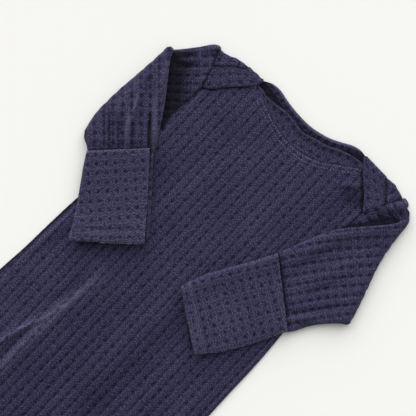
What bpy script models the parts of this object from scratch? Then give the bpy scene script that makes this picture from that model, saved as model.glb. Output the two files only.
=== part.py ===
"""Baby's sleep gown of waffle knit with lap shoulders and fold-over mitten cuffs, laid flat.

The front is uppermost and both sleeves are folded over it at the elbow. Tables are in
millimetres: x to the right of the centre line, y up the gown from the shoulder line, as the
gown lies. Z is up from the surface it rests on. The scene is in metres.
"""
import math

import bpy

MM = 0.001
LENGTH = 560.0  # neck corner to hem
TOP = 268.0  # y of the shoulder line, so that the origin is at half the length
WALL = 1.6  # one layer of waffle knit, ribs and all
GAP = 0.4  # air between two layers that lie on each other
SEAM = 0.38  # space between two pieces that are sewn edge to edge
CREASE_SEAM = 1.3  # the same along a shoulder fold, which a seam crosses at a slant
STEP = WALL + GAP  # from one layer to the next

Z_BACK = WALL / 2  # middle of the wall of each layer
Z_FRONT = Z_BACK + STEP
Z_LAP = Z_FRONT + STEP
TUBE = WALL + STEP  # thickness of a sleeve that lies flat
Z_TUBE = TUBE / 2
FOLD = 3.6  # radius of the sleeve's soft fold at its mid-surface
Z_OVER = Z_TUBE + TUBE + GAP  # middle of the folded part, where it lies on the front
SOFTNESS = 38.0  # how far from the fold the sleeve comes down on to the front
Z_CUFF = Z_OVER + TUBE / 2 + 1.25 * GAP + WALL / 2
LAP_FOLD = STEP  # radius of a lap's fold over the shoulder
EDGE_ROUND = 1.2  # width over which a flattened sleeve's edge rounds off
FOLD_STEPS = 8  # around a sleeve's fold
SMOOTH_BELOW = 50.0  # degrees: the shading is smooth across flatter edges

# Body below the armholes, a row for each level: both side edges of the back
BODY = (  # left x, left y, right x, right y
    (-124.0, -548.0, 113.0, -548.0),
    (-122.0, -505.0, 111.8, -505.0),
    (-119.5, -462.0, 110.4, -462.0),
    (-117.0, -420.0, 109.0, -420.0),
    (-114.6, -380.0, 107.6, -380.0),
    (-112.4, -340.0, 106.2, -340.0),
    (-110.2, -303.0, 104.9, -303.0),
    (-107.2, -266.0, 103.8, -266.0),
    (-106.0, -240.0, 103.0, -240.0),
    (-104.0, -212.0, 102.5, -212.0),
    (-100.2, -181.0, 102.0, -181.0),
    (-96.6, -150.0, 100.8, -148.0),
    (-92.8, -118.0, 98.0, -114.0),
    (-89.3, -88.0, 94.2, -85.0),
)
# Armhole seams, from the shoulder down to the underarm
ARMHOLE_L = (  # x, y
    (-98.6, -9.3),
    (-96.4, -14.5),
    (-92.6, -24.0),
    (-88.8, -34.5),
    (-87.9, -42.0),
    (-88.8, -54.7),
    (-90.4, -65.0),
    (-90.6, -76.0),
    (-89.3, -88.0),
)
ARMHOLE_R = (  # x, y
    (97.4, 3.6),
    (94.6, -1.6),
    (90.4, -8.6),
    (85.2, -17.4),
    (82.0, -26.0),
    (80.6, -40.0),
    (78.6, -51.0),
    (81.4, -66.0),
    (94.2, -85.0),
)
# Axis of each shoulder's fold, from the armhole to the neck corner
CREASE_L = (  # x, y
    (-98.6, -9.3),
    (-90.5, -9.0),
    (-83.0, -6.8),
    (-76.0, -5.4),
    (-68.0, -4.3),
    (-60.0, -4.0),
    (-52.6, -3.6),
)
CREASE_R = (  # x, y
    (97.4, 3.6),
    (91.0, 5.4),
    (84.6, 6.6),
    (77.0, 6.6),
    (69.0, 6.4),
    (60.0, 6.0),
    (50.6, 8.9),
)
# Back neckband, a row for each cross-section: its free edge and its seam
NECK_BACK = (  # free x, free y, seam x, seam y
    (-46.6, 1.6, -61.0, -9.6),
    (-38.0, 3.0, -49.0, -14.2),
    (-26.0, 1.0, -33.0, -16.4),
    (-12.7, -1.0, -16.5, -18.2),
    (2.0, -2.1, 1.6, -19.0),
    (17.0, 0.6, 19.5, -16.6),
    (28.0, 5.2, 35.5, -11.6),
    (37.3, 9.7, 50.5, -4.4),
    (44.6, 10.9, 65.0, 2.4),
)
LAP_BAND_L = (  # from the shoulder fold towards the armhole: free x, free y, seam x, seam y
    (-55.6, -8.4, -73.4, -6.1),
    (-60.1, -13.7, -76.6, -7.8),
    (-66.0, -19.8, -80.4, -10.2),
    (-73.0, -26.8, -84.8, -13.8),
    (-80.5, -35.6, -89.6, -18.8),
)
LAP_BAND_R = (  # free x, free y, seam x, seam y
    (55.2, 3.4, 79.2, 5.0),
    (60.4, -2.4, 82.0, 2.4),
    (66.0, -7.8, 84.8, -0.8),
    (73.0, -14.6, 87.8, -4.6),
)
# Front neckband from under the left lap to under the right one
NECK_FRONT = (  # free x, free y, seam x, seam y
    (-82.0, -10.2, -76.0, -19.0),
    (-68.0, -8.0, -62.0, -13.0),
    (-51.2, -6.9, -46.6, -12.2),
    (-43.4, -8.8, -37.6, -15.2),
    (-33.1, -8.6, -28.6, -18.8),
    (-21.7, -7.3, -18.0, -22.0),
    (-10.9, -8.7, -9.4, -24.1),
    (-0.1, -10.1, -0.2, -24.7),
    (12.0, -7.1, 12.6, -23.2),
    (22.4, -4.4, 26.0, -18.4),
    (32.1, 0.0, 38.4, -10.6),
    (41.2, 2.7, 47.4, -4.6),
    (51.9, 4.6, 56.0, 0.4),
    (66.0, 3.4, 68.0, -1.6),
    (79.0, 2.6, 79.0, -5.0),
)
FRONT_INSET = 2.0  # the back's side edges show this far past the front's at the left side
# Soft folds of the front below the chest, a row for each: a crest runs through these sections
FOLDS = (  # top x, top y, foot x, foot y, height at the foot, half-width
    (-45.0, -216.0, -51.0, -548.0, 3.4, 9.0),
    (-51.0, -252.0, -96.0, -430.0, 2.6, 8.0),
    (34.0, -330.0, 52.0, -548.0, 2.4, 12.0),
)

# Sleeves, a row for each cross-section: its shoulder-side edge and its underarm-side edge
SLEEVE_R_UNDER = (  # shoulder x, shoulder y, underarm x, underarm y
    (-104.7, -9.2, -96.7, -95.0),
    (-111.7, -17.0, -107.0, -106.0),
    (-120.0, -26.5, -120.0, -119.0),
)
SLEEVE_R_FOLD = (-131.4, -35.6, -134.0, -133.6)  # outline of the elbow fold, end to end
SLEEVE_R_FOLD_BULGE = ((0.0, 0.0), (0.12, 1.4), (0.35, -0.2), (0.6, 0.8), (0.85, 3.6), (1.0, 0.6))
SLEEVE_R_OVER = (
    (-121.6, -42.8, -128.6, -137.0),
    (-112.5, -55.3, -124.6, -140.7),
    (-102.6, -68.9, -120.3, -144.5),
    (-95.2, -82.5, -115.6, -150.4),
    (-88.0, -96.0, -110.6, -158.0),
    (-79.0, -109.6, -104.6, -166.4),
    (-65.1, -125.1, -95.6, -180.0),
    (-49.0, -144.2, -86.2, -193.6),
    (-34.4, -163.4, -80.4, -205.4),
)
SLEEVE_L_UNDER = (
    (103.6, 4.6, 102.6, -90.0),
    (108.6, 1.6, 113.4, -94.2),
    (112.6, -2.6, 124.6, -98.4),
)
SLEEVE_L_FOLD = (115.4, -6.0, 137.7, -101.2)
SLEEVE_L_FOLD_BULGE = ((0.0, 0.2), (0.3, -3.2), (0.55, -3.0), (0.8, -1.8), (1.0, 0.0))
SLEEVE_L_OVER = (
    (108.6, -12.0, 132.2, -105.6),
    (101.5, -20.8, 128.4, -109.4),
    (90.2, -33.2, 123.5, -114.9),
    (78.0, -46.9, 117.4, -121.8),
    (68.6, -61.4, 112.2, -129.8),
    (60.6, -79.7, 107.6, -137.8),
    (52.4, -98.0, 101.2, -144.0),
    (40.2, -124.0, 88.3, -163.6),
    (25.8, -148.8, 75.1, -186.0),
    (16.2, -171.0, 60.0, -202.6),
)
CUFF_R = (  # free edge to hem: inner x, inner y, outer x, outer y
    (-85.7, -106.1, -122.0, -142.8),
    (-75.8, -117.9, -115.1, -154.6),
    (-64.7, -130.4, -105.8, -168.8),
    (-53.6, -142.9, -96.6, -182.9),
    (-42.6, -155.4, -87.8, -197.4),
    (-32.1, -167.2, -81.6, -208.4),
)
CUFF_L = (
    (52.6, -99.1, 102.4, -140.4),
    (42.1, -117.8, 94.0, -156.6),
    (30.9, -135.8, 85.1, -173.1),
    (20.6, -153.7, 73.6, -190.6),
    (12.8, -172.6, 58.8, -206.1),
)

DEEP_NAVY = (0.030, 0.030, 0.062, 1.0)
SOFT_NAVY = (0.048, 0.048, 0.095, 1.0)


def spline(table, where):
    """Point of a Catmull-Rom curve through the rows of a table, 0 at the first and 1 at the last."""
    last = len(table) - 1
    place = min(max(where, 0.0), 1.0) * last
    i = min(int(place), last - 1)
    t = place - i
    p0, p1, p2, p3 = (table[min(max(i + k, 0), last)] for k in (-1, 0, 1, 2))
    return tuple(
        0.5 * (2 * b + (c - a) * t + (2 * a - 5 * b + 4 * c - d) * t**2 + (3 * b - a - 3 * c + d) * t**3)
        for a, b, c, d in zip(p0, p1, p2, p3)
    )


def ease(value):
    value = min(max(value, 0.0), 1.0)
    return value * value * (3 - 2 * value)


def between(a, b, share):
    return tuple(u + (v - u) * share for u, v in zip(a, b))


def place_at(table, column, value):
    """Where along a table's curve this column reaches a value, for a column that keeps its sense."""
    low, high = 0.0, 1.0
    rising = table[-1][column] > table[0][column]
    for _ in range(40):
        middle = (low + high) / 2
        if (spline(table, middle)[column] < value) == rising:
            low = middle
        else:
            high = middle
    return (low + high) / 2


def stretch(table, start, end, steps):
    return [spline(table, start + (end - start) * k / steps) for k in range(steps + 1)]


def patch(bottom, top, left, right):
    """Rows of a Coons patch, from its bottom edge to its top one."""
    across, up = len(bottom) - 1, len(left) - 1
    rows = []
    for j in range(up + 1):
        v = j / up
        row = []
        for i in range(across + 1):
            u = i / across
            row.append(
                tuple(
                    (1 - v) * bottom[i][c] + v * top[i][c] + (1 - u) * left[j][c] + u * right[j][c]
                    - (1 - u) * (1 - v) * bottom[0][c] - u * (1 - v) * bottom[-1][c]
                    - (1 - u) * v * top[0][c] - u * v * top[-1][c]
                    for c in (0, 1)
                )
            )
        rows.append(row)
    return rows


def at_height(points, z):
    return [(p[0], p[1], z) for p in points]


def folded_rows(axis, outward, radius, z_low, steps):
    """Rows of a half turn about an axis line, from the lower layer to the upper one."""
    rows = []
    for k in range(steps + 1):
        angle = math.pi * k / steps
        out, up = radius * math.sin(angle), radius * (1 - math.cos(angle))
        rows.append([(x + outward[0] * out, y + outward[1] * out, z_low + up) for x, y in axis])
    return rows


class Sheet:
    """An open sheet of quads, built from rows of points that may share corners."""

    def __init__(self):
        self.points, self.faces, self.known = [], [], {}

    def vertex(self, point):
        key = tuple(round(c, 3) for c in point)
        if key not in self.known:
            self.known[key] = len(self.points)
            self.points.append(point)
        return self.known[key]

    def add(self, rows, turned=False):
        index = [[self.vertex(p) for p in row] for row in rows]
        for low, high in zip(index, index[1:]):
            for a, b, c, d in zip(low, low[1:], high[1:], high):
                face = list(dict.fromkeys((a, b, c, d)))
                if len(face) > 2:
                    self.faces.append(face[::-1] if turned else face)


def metres(points):
    return [(x * MM, (y + TOP) * MM, z * MM) for x, y, z in points]


def finish(name, points, faces, colour):
    mesh = bpy.data.meshes.new(name)
    mesh.from_pydata(metres(points), [], faces)
    mesh.validate()
    mesh.shade_smooth()
    mesh.set_sharp_from_angle(angle=math.radians(SMOOTH_BELOW))
    obj = bpy.data.objects.new(name, mesh)
    gown.objects.link(obj)
    material = bpy.data.materials.new(name)
    material.use_nodes = True
    shader = material.node_tree.nodes["Principled BSDF"]
    shader.inputs["Base Color"].default_value = colour
    shader.inputs["Roughness"].default_value = 0.95
    mesh.materials.append(material)
    return obj


def cloth(name, sheet, colour):
    """A sheet given the thickness of the knit, half of it to each side."""
    obj = finish(name, sheet.points, sheet.faces, colour)
    wall = obj.modifiers.new("wall", "SOLIDIFY")
    wall.thickness = WALL * MM
    wall.offset = 0.0
    return obj


for item in list(bpy.data.objects):
    bpy.data.objects.remove(item)
gown = bpy.data.collections.new("waffle_sleep_gown")
bpy.context.scene.collection.children.link(gown)

# Levels on the armholes where the pieces end: front band's free edge and seam, lap's seam and free edge
LEVELS = (  # front free y, lap seam y, front seam y, lap free y
    (-13.6, -22.0, -27.0, -41.0),
    (-2.6, -8.6, -12.6, -26.0),
)
LAP_SEAM_X = (-71.0, 77.0)  # where a lap's seam crosses the shoulder fold
BELOW_LEVELS = 7  # steps of the armhole below the lap
NECK_STEPS = 18
LAP_STEPS = 6
ARMHOLES = (ARMHOLE_L, ARMHOLE_R)
CREASES = (CREASE_L, CREASE_R)
LAP_BANDS = (LAP_BAND_L, LAP_BAND_R)
SHOULDER, FRONT_FREE, LAP_SEAM, FRONT_SEAM, LAP_FREE = 0, 1, 2, 3, 4


def armhole_edge(side):
    """Points of an armhole from the shoulder to the underarm. Every piece that ends there uses them."""
    table = ARMHOLES[side]
    places = [0.0] + [place_at(table, 1, y) for y in LEVELS[side]]
    below = [places[-1] + (1 - places[-1]) * k / BELOW_LEVELS for k in range(1, BELOW_LEVELS + 1)]
    return [spline(table, place) for place in places + below]


EDGES = (armhole_edge(0), armhole_edge(1))
ARM_STEPS = len(EDGES[0]) - 1


def crease_points(side, start_x, end_x, steps):
    table = CREASES[side]
    return stretch(table, place_at(table, 0, start_x), place_at(table, 0, end_x), steps)


def outward_of(side, crease):
    """Level direction away from the gown, square to a shoulder fold."""
    dx, dy = crease[-1][0] - crease[0][0], crease[-1][1] - crease[0][1]
    size = math.hypot(dx, dy)
    return (-dy / size, dx / size) if side == 0 else (dy / size, -dx / size)


def shares(steps, dense_at=0.5, how_much=0.0, spread=0.15):
    """Shares from 0 to 1, closer together round one place."""
    marks = [0.0]
    for k in range(steps):
        middle = (k + 0.5) / steps
        marks.append(marks[-1] + 1 / (1 + how_much * math.exp(-(((middle - dense_at) / spread) ** 2))))
    return [mark / marks[-1] for mark in marks]


def fold_height(x, y):
    """How far the front stands up in its soft folds."""
    rise = 0.0
    for top_x, top_y, foot_x, foot_y, high, half in FOLDS:
        down = (top_y - y) / (top_y - foot_y)
        if down > 0:
            crest = top_x + (foot_x - top_x) * down
            grown = ease(2.2 * down) * ease(2.2 * (1.4 - down))
            rise += high * grown * math.exp(-(((x - crest) / half) ** 2))
    return rise


def lower_body(marks, rows, left_inset):
    """Rows of a panel from the hem to the underarms, before they get their height."""
    out = []
    for j in range(rows + 1):
        lx, ly, rx, ry = spline(BODY, j / rows)
        start = (lx + left_inset * ease((-92.0 - ly) / 40.0), ly)
        out.append([between(start, (rx, ry), mark) for mark in marks])
    return out


def lap_table(side):
    """Cross-sections of a lap's band from the shoulder fold to the armhole."""
    crease, edge = CREASES[side], EDGES[side]
    corner = crease[-1]
    crossing = crease_points(side, crease[0][0], LAP_SEAM_X[side], 1)[-1]
    first = (corner[0], corner[1], crossing[0], crossing[1])
    last = (*edge[LAP_FREE], *edge[LAP_SEAM])
    return [first, *LAP_BANDS[side], last]


def back_neck_table():
    """Cross-sections of the band along the back of the neck, from one shoulder fold to the other."""
    return [lap_table(0)[0], *NECK_BACK, lap_table(1)[0]]


def front_neck_table():
    """Cross-sections of the front neckband from armhole to armhole."""
    ends = [(*EDGES[side][FRONT_FREE], *EDGES[side][FRONT_SEAM]) for side in (0, 1)]
    return [ends[0], *NECK_FRONT, ends[1]]


def beside(line, towards):
    """A line moved by the width of a seam, square to itself, to the side of its partner points."""
    moved = []
    for k, (x, y) in enumerate(line):
        ax, ay = line[max(k - 1, 0)]
        bx, by = line[min(k + 1, len(line) - 1)]
        size = math.dist((ax, ay), (bx, by))
        nx, ny = (ay - by) / size, (bx - ax) / size
        if nx * (towards[k][0] - x) + ny * (towards[k][1] - y) < 0:
            nx, ny = -nx, -ny
        moved.append((x + nx * SEAM, y + ny * SEAM))
    return moved


def band_rows(table, stations, steps, crease_ends):
    """Rows across a band, stopping short of its seam. Some ends lie along a shoulder fold."""
    sections = stretch(table, 0.0, 1.0, stations)
    free = [row[:2] for row in sections]
    raw = [row[2:] for row in sections]
    seam = beside(raw, free)
    for end in crease_ends:
        seam[end] = between(raw[end], free[end], CREASE_SEAM / math.dist(raw[end], free[end]))
    return [[between(f, s, k / steps) for k in range(steps + 1)] for f, s in zip(free, seam)]


def armhole_end(side, first, last):
    """The end of a band on the armhole, from its free edge to just short of its seam."""
    end = EDGES[side][min(first, last) : max(first, last) + 1]
    if first > last:
        end = end[::-1]
    end[-1] = between(end[-1], end[-2], 1.2 * SEAM / math.dist(end[-1], end[-2]))
    return end


# Back panel with its two laps
LAP_COLUMNS = 3
creases = [crease_points(s, CREASES[s][0][0], LAP_SEAM_X[s], LAP_COLUMNS) for s in (0, 1)]
neck_seam = [row[2:] for row in stretch(back_neck_table(), 0.0, 1.0, NECK_STEPS)]
back_top = creases[0] + neck_seam[1:-1] + creases[1][::-1]
back_rows = lower_body(shares(len(back_top) - 1), 12, 0.0)
edges_up = [EDGES[side][::-1] for side in (0, 1)]
back = Sheet()
back.add([at_height(row, Z_BACK) for row in back_rows])
back.add([at_height(row, Z_BACK) for row in patch(back_rows[-1], back_top, *edges_up)])
for side, crease in enumerate(creases):
    seam = [row[2:] for row in stretch(lap_table(side), 0.0, 1.0, LAP_STEPS)]
    edge = [EDGES[side][SHOULDER], EDGES[side][FRONT_FREE], EDGES[side][LAP_SEAM]]
    edge = stretch(edge, 0.0, 1.0, LAP_STEPS)
    lap = [crease] + [
        [between(edge[k], seam[k], i / LAP_COLUMNS) for i in range(LAP_COLUMNS + 1)]
        for k in range(1, LAP_STEPS + 1)
    ]
    turned = side == 1
    back.add(folded_rows(crease, outward_of(side, crease), LAP_FOLD, Z_BACK, 6), turned)
    back.add([at_height(row, Z_LAP) for row in lap], turned)
cloth("back_panel", back, DEEP_NAVY)

# Back neckband: down one lap, round the back of the neck and down the other lap
BAND_COLUMNS = LAP_FREE - LAP_SEAM
band = Sheet()
under = band_rows(back_neck_table(), NECK_STEPS, BAND_COLUMNS, (0, -1))
band.add([at_height(row, Z_BACK) for row in under])
for side, axis in ((0, under[0]), (1, under[-1])):
    rows = band_rows(lap_table(side), LAP_STEPS, BAND_COLUMNS, (0,))
    rows[-1] = armhole_end(side, LAP_FREE, LAP_SEAM)
    turned = side == 0
    band.add(folded_rows(axis, outward_of(side, creases[side]), LAP_FOLD, Z_BACK, 6), turned)
    band.add([at_height(row, Z_LAP) for row in rows], turned)
cloth("neckband_back", band, DEEP_NAVY)

# Front neckband
FRONT_BAND_COLUMNS = 2
front_sections = stretch(front_neck_table(), 0.0, 1.0, 26)
rows = band_rows(front_neck_table(), 26, FRONT_BAND_COLUMNS, ())
for side, place in ((0, 0), (1, -1)):
    rows[place] = armhole_end(side, FRONT_FREE, FRONT_SEAM)
front_band = Sheet()
front_band.add([at_height(row, Z_FRONT) for row in rows])
cloth("neckband_front", front_band, DEEP_NAVY)

# Front panel, with its soft folds below the chest
front_top = [row[2:] for row in front_sections]
front_rows = lower_body(shares(26, 0.30, 1.6, 0.16), 16, FRONT_INSET)
front_edges = [EDGES[side][:FRONT_SEAM - 1:-1] for side in (0, 1)]
front = Sheet()
front.add([[(x, y, Z_FRONT + fold_height(x, y)) for x, y in row] for row in front_rows])
front.add([at_height(row, Z_FRONT) for row in patch(front_rows[-1], front_top, *front_edges)])
cloth("front_panel", front, DEEP_NAVY)


def sleeve_head(side):
    """The armhole's points, moved out by the width of the seam."""
    edge, out = EDGES[side], (-1, 1)[side]
    points = []
    for k, (x, y) in enumerate(edge):
        ax, ay = edge[max(k - 1, 0)]
        bx, by = edge[min(k + 1, ARM_STEPS)]
        size = math.dist((ax, ay), (bx, by))
        nx, ny = (ay - by) / size * out, (bx - ax) / size * out
        points.append((x + nx * SEAM, y + ny * SEAM))
    return points


def fold_rise(fold, x, y):
    """How high a point near the elbow fold stands above where it would lie flat."""
    (ax, ay), (bx, by) = fold[:2], fold[2:]
    along = ((x - ax) * (bx - ax) + (y - ay) * (by - ay)) / ((bx - ax) ** 2 + (by - ay) ** 2)
    near = between((ax, ay), (bx, by), min(max(along, 0.0), 1.0))
    away = max(math.dist((x, y), near) - FOLD - TUBE / 2, 0.0)
    return (Z_TUBE + 2 * FOLD - Z_OVER) * (1 - ease(away / SOFTNESS))


def section(row, turn, outward, lift, z_row):
    """Outer and inner ring of a flattened tube along a row of points, turned by its share of the fold."""
    sin, cos = math.sin(turn), math.cos(turn)
    normal = (-outward[0] * sin, -outward[1] * sin, cos)
    out = FOLD * sin
    row = [(x + outward[0] * out, y + outward[1] * out) for x, y in row]
    rings = []
    for inset, half, low_half in ((0.0, TUBE / 2, TUBE / 2), (WALL, GAP / 2, GAP / 2)):
        a = between(row[0], row[1], inset / math.dist(row[0], row[1]))
        b = between(row[-1], row[-2], inset / math.dist(row[-1], row[-2]))
        a_near = between(row[0], row[1], (inset + EDGE_ROUND) / math.dist(row[0], row[1]))
        b_near = between(row[-1], row[-2], (inset + EDGE_ROUND) / math.dist(row[-1], row[-2]))
        line = [a, a_near, *row[1:-1], b_near, b]
        high = [half + lift[min(max(k - 1, 0), len(lift) - 1)] for k in range(len(line))]
        z_line = [z_row[min(max(k - 1, 0), len(z_row) - 1)] for k in range(len(line))]
        ring = [(p, -low_half, z) for p, z in zip(line[1:-1], z_line[1:-1])]
        ring += [(b, (high[-1] - low_half) / 2, z_line[-1])]
        ring += [(p, h, z) for p, h, z in zip(line[-2:0:-1], high[-2:0:-1], z_line[-2:0:-1])]
        ring += [(a, (high[0] - low_half) / 2, z_line[0])]
        rings.append([(p[0] + normal[0] * n, p[1] + normal[1] * n, z + normal[2] * n) for p, n, z in ring])
    return rings


def sleeve(name, side, under_table, fold, bulge, over_table):
    """A flattened tube from the armhole to the wrist, folded over the front at the elbow."""
    head = sleeve_head(side)
    marks = [0.0]
    for a, b in zip(head, head[1:]):
        marks.append(marks[-1] + math.dist(a, b))
    marks = [mark / marks[-1] for mark in marks]
    (ax, ay), (bx, by) = fold[:2], fold[2:]
    size = math.dist((ax, ay), (bx, by))
    outward = ((by - ay) / size, (ax - bx) / size)
    if side == 1:
        outward = (-outward[0], -outward[1])
    axis = []
    for mark in marks:
        x, y = between((ax, ay), (bx, by), mark)
        out = table_value(bulge, mark) - FOLD - TUBE / 2
        axis.append((x + outward[0] * out, y + outward[1] * out))

    def straight(ends):
        return [between(ends[:2], ends[2:4], mark) for mark in marks]

    flat = [0.0] * len(marks)
    lap_lift = [STEP if k <= LAP_FREE else 0.0 for k in range(len(marks))]
    lap_lift[LAP_FREE + 1] = 0.4 * STEP
    near = [between(a, b, 0.5) for a, b in zip(head, straight(under_table[0]))]
    low = [Z_TUBE] * len(marks)
    stations = [(head, 0.0, lap_lift, low)]
    stations.append((near, 0.0, [0.55 * value for value in lap_lift], low))
    stations += [(straight(row), 0.0, flat, low) for row in under_table]
    for k in range(FOLD_STEPS + 1):
        turn = math.pi * k / FOLD_STEPS
        stations.append((axis, turn, flat, [Z_TUBE + FOLD * (1 - math.cos(turn))] * len(marks)))
    for table_row in over_table:
        row = straight(table_row)
        stations.append((row, math.pi, flat, [Z_OVER + fold_rise(fold, x, y) for x, y in row]))
    rings = [section(row, turn, outward, lift, z_row) for row, turn, lift, z_row in stations]
    count = len(rings[0][0])
    points = [point for outer, inner in rings for point in outer + inner]
    faces = []
    for j in range(len(rings) - 1):
        for i in range(count):
            a, b = 2 * count * j + i, 2 * count * j + (i + 1) % count
            faces.append((a, b, b + 2 * count, a + 2 * count))
            a, b = a + count, b + count
            faces.append((a, a + 2 * count, b + 2 * count, b))
    last = 2 * count * (len(rings) - 1)
    for i in range(count):
        k = (i + 1) % count
        faces.append((i, i + count, k + count, k))
        faces.append((last + i, last + k, last + k + count, last + i + count))
    if side == 1:
        faces = [face[::-1] for face in faces]
    finish(name, points, faces, DEEP_NAVY)


def table_value(table, place):
    """Value at a place in a table of (place, value) rows, eased between rows."""
    for (p0, v0), (p1, v1) in zip(table, table[1:]):
        if place <= p1:
            return v0 + (v1 - v0) * ease((place - p0) / (p1 - p0))
    return table[-1][1]


sleeve("sleeve_right", 0, SLEEVE_R_UNDER, SLEEVE_R_FOLD, SLEEVE_R_FOLD_BULGE, SLEEVE_R_OVER)
sleeve("sleeve_left", 1, SLEEVE_L_UNDER, SLEEVE_L_FOLD, SLEEVE_L_FOLD_BULGE, SLEEVE_L_OVER)

# Mitten flaps on the ends of the sleeves
CUFF_COLUMNS, CUFF_STEPS = 6, 8
CUFFS = (  # name, table, sleeve's fold, turned
    ("cuff_right", CUFF_R, SLEEVE_R_FOLD, False),
    ("cuff_left", CUFF_L, SLEEVE_L_FOLD, True),
)
for name, table, fold, turned in CUFFS:
    flap = Sheet()
    rows = [
        [between(row[:2], row[2:], i / CUFF_COLUMNS) for i in range(CUFF_COLUMNS + 1)]
        for row in stretch(table, 0.0, 1.0, CUFF_STEPS)
    ]
    flap.add([[(x, y, Z_CUFF + fold_rise(fold, x, y)) for x, y in row] for row in rows], turned)
    cloth(name, flap, SOFT_NAVY)
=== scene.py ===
# %% [markdown]
# # A baby's sleep gown in waffle knit, laid flat
#
# The gown is cut from one navy waffle knit: a back, a front, two sleeves, two bindings for the neck
# and two flaps that fold over the hands. It lies on its back with both sleeves folded over the
# front. Each piece is made here as its maker would have it: a flat cut on the lines of the knit,
# trimmed to its outline, folded, and given the waffle's ribs and hollows. The shape of each fold
# follows the solids of the frame, so that the cloth lies where they lie.

# %% Load the solids of the gown
import math

import bpy
import numpy as np
from mathutils import Matrix, Vector
from mathutils.bvhtree import BVHTree


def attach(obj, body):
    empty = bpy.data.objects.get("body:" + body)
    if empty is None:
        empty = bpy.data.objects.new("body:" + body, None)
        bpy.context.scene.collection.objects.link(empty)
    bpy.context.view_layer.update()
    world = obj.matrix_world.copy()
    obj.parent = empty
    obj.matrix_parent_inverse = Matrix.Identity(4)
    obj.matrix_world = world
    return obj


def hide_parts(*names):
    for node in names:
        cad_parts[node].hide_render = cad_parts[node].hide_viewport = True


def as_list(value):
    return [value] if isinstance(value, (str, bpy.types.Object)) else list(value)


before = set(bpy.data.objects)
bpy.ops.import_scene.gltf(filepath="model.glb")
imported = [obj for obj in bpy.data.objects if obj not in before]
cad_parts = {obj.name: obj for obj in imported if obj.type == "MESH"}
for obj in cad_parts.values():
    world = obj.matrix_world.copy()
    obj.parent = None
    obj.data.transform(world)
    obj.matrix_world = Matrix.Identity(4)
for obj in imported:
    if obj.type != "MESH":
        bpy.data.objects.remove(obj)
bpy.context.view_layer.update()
bpy.ops.object.select_all(action="DESELECT")
print("solids:", sorted(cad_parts))

# %% [markdown]
# ## Sizes
#
# All sizes are in millimetres, x to the right of the centre line and y up the gown from the line of
# the shoulders. A layer of the knit is 1.6 mm thick with its ribs, and 0.4 mm of air lies between
# two layers. A waffle measures 7.7 mm from rib to rib.

# %% Layers of cloth and the knit's own measure
MM = 0.001
TOP = 268.0  # the frame's origin is at half the gown's length, this far below the shoulders
CELL = 7.7
WALL, GAP = 1.6, 0.4
STEP = WALL + GAP
Z_BACK, Z_FRONT, Z_LAP = WALL / 2, WALL / 2 + STEP, WALL / 2 + 2 * STEP
TUBE = WALL + STEP
Z_TUBE, FOLD = TUBE / 2, 3.6
Z_OVER = Z_TUBE + TUBE + GAP
Z_CUFF = Z_OVER + TUBE / 2 + 1.25 * GAP + WALL / 2
LAP_FOLD = STEP
SOFTNESS = 38.0  # how far past its elbow a sleeve comes down on to the front

# %% The outlines of the pieces, as tables of points
BODY = (  # left x, left y, right x, right y, from the hem to the underarm
    (-124.0, -548.0, 113.0, -548.0), (-122.0, -505.0, 111.8, -505.0), (-119.5, -462.0, 110.4, -462.0),
    (-117.0, -420.0, 109.0, -420.0), (-114.6, -380.0, 107.6, -380.0), (-112.4, -340.0, 106.2, -340.0),
    (-110.2, -303.0, 104.9, -303.0), (-107.3, -266.0, 103.8, -266.0), (-104.8, -240.0, 103.2, -240.0),
    (-103.2, -212.0, 103.0, -212.0), (-101.0, -181.0, 103.0, -181.0), (-97.0, -150.0, 101.6, -148.0),
    (-92.8, -118.0, 98.6, -114.0), (-89.3, -88.0, 94.2, -85.0),
)
ARMHOLES = (
    ((-98.6, -9.3), (-96.4, -14.5), (-92.6, -24.0), (-88.8, -34.5), (-87.9, -42.0), (-88.8, -54.7),
     (-90.4, -65.0), (-90.6, -76.0), (-89.3, -88.0)),
    ((97.4, 3.6), (94.6, -1.6), (90.4, -8.6), (85.2, -17.4), (82.0, -26.0), (80.6, -40.0),
     (78.6, -51.0), (81.4, -66.0), (94.2, -85.0)),
)
SHOULDER_FOLDS = (
    ((-98.6, -9.3), (-90.5, -8.6), (-83.0, -5.6), (-76.0, -4.4), (-68.0, -3.3), (-60.0, -2.9), (-53.4, -3.2)),
    ((97.4, 3.6), (91.0, 5.9), (84.6, 7.7), (77.0, 7.4), (69.0, 6.5), (60.0, 4.1), (50.6, 8.8)),
)
NECK_BACK = (  # free edge x, y, seam x, y
    (-51.4, -0.4, -66.2, -6.5), (-46.6, 2.2, -61.0, -9.6), (-38.0, 2.7, -49.0, -14.2),
    (-26.0, 0.0, -33.0, -16.4), (-12.7, -1.8, -16.5, -18.2), (2.0, -2.1, 1.6, -19.0),
    (17.0, 0.8, 19.5, -16.6), (28.0, 5.3, 35.5, -11.6), (37.3, 10.0, 50.5, -4.4),
    (44.0, 11.6, 65.0, 2.4), (48.6, 11.2, 71.0, 5.0),
)
LAP_BANDS = (  # free edge x, y, seam x, y, from the shoulder fold towards the armhole
    ((-55.6, -8.4, -73.4, -6.1), (-60.1, -13.7, -76.6, -7.8), (-66.0, -19.8, -80.4, -10.2),
     (-73.0, -26.8, -84.8, -13.8), (-80.5, -35.6, -89.6, -18.8)),
    ((55.2, 3.4, 79.2, 5.0), (60.4, -2.4, 82.0, 2.4), (66.0, -7.8, 84.8, -0.8), (73.0, -14.6, 87.8, -4.6)),
)
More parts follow.
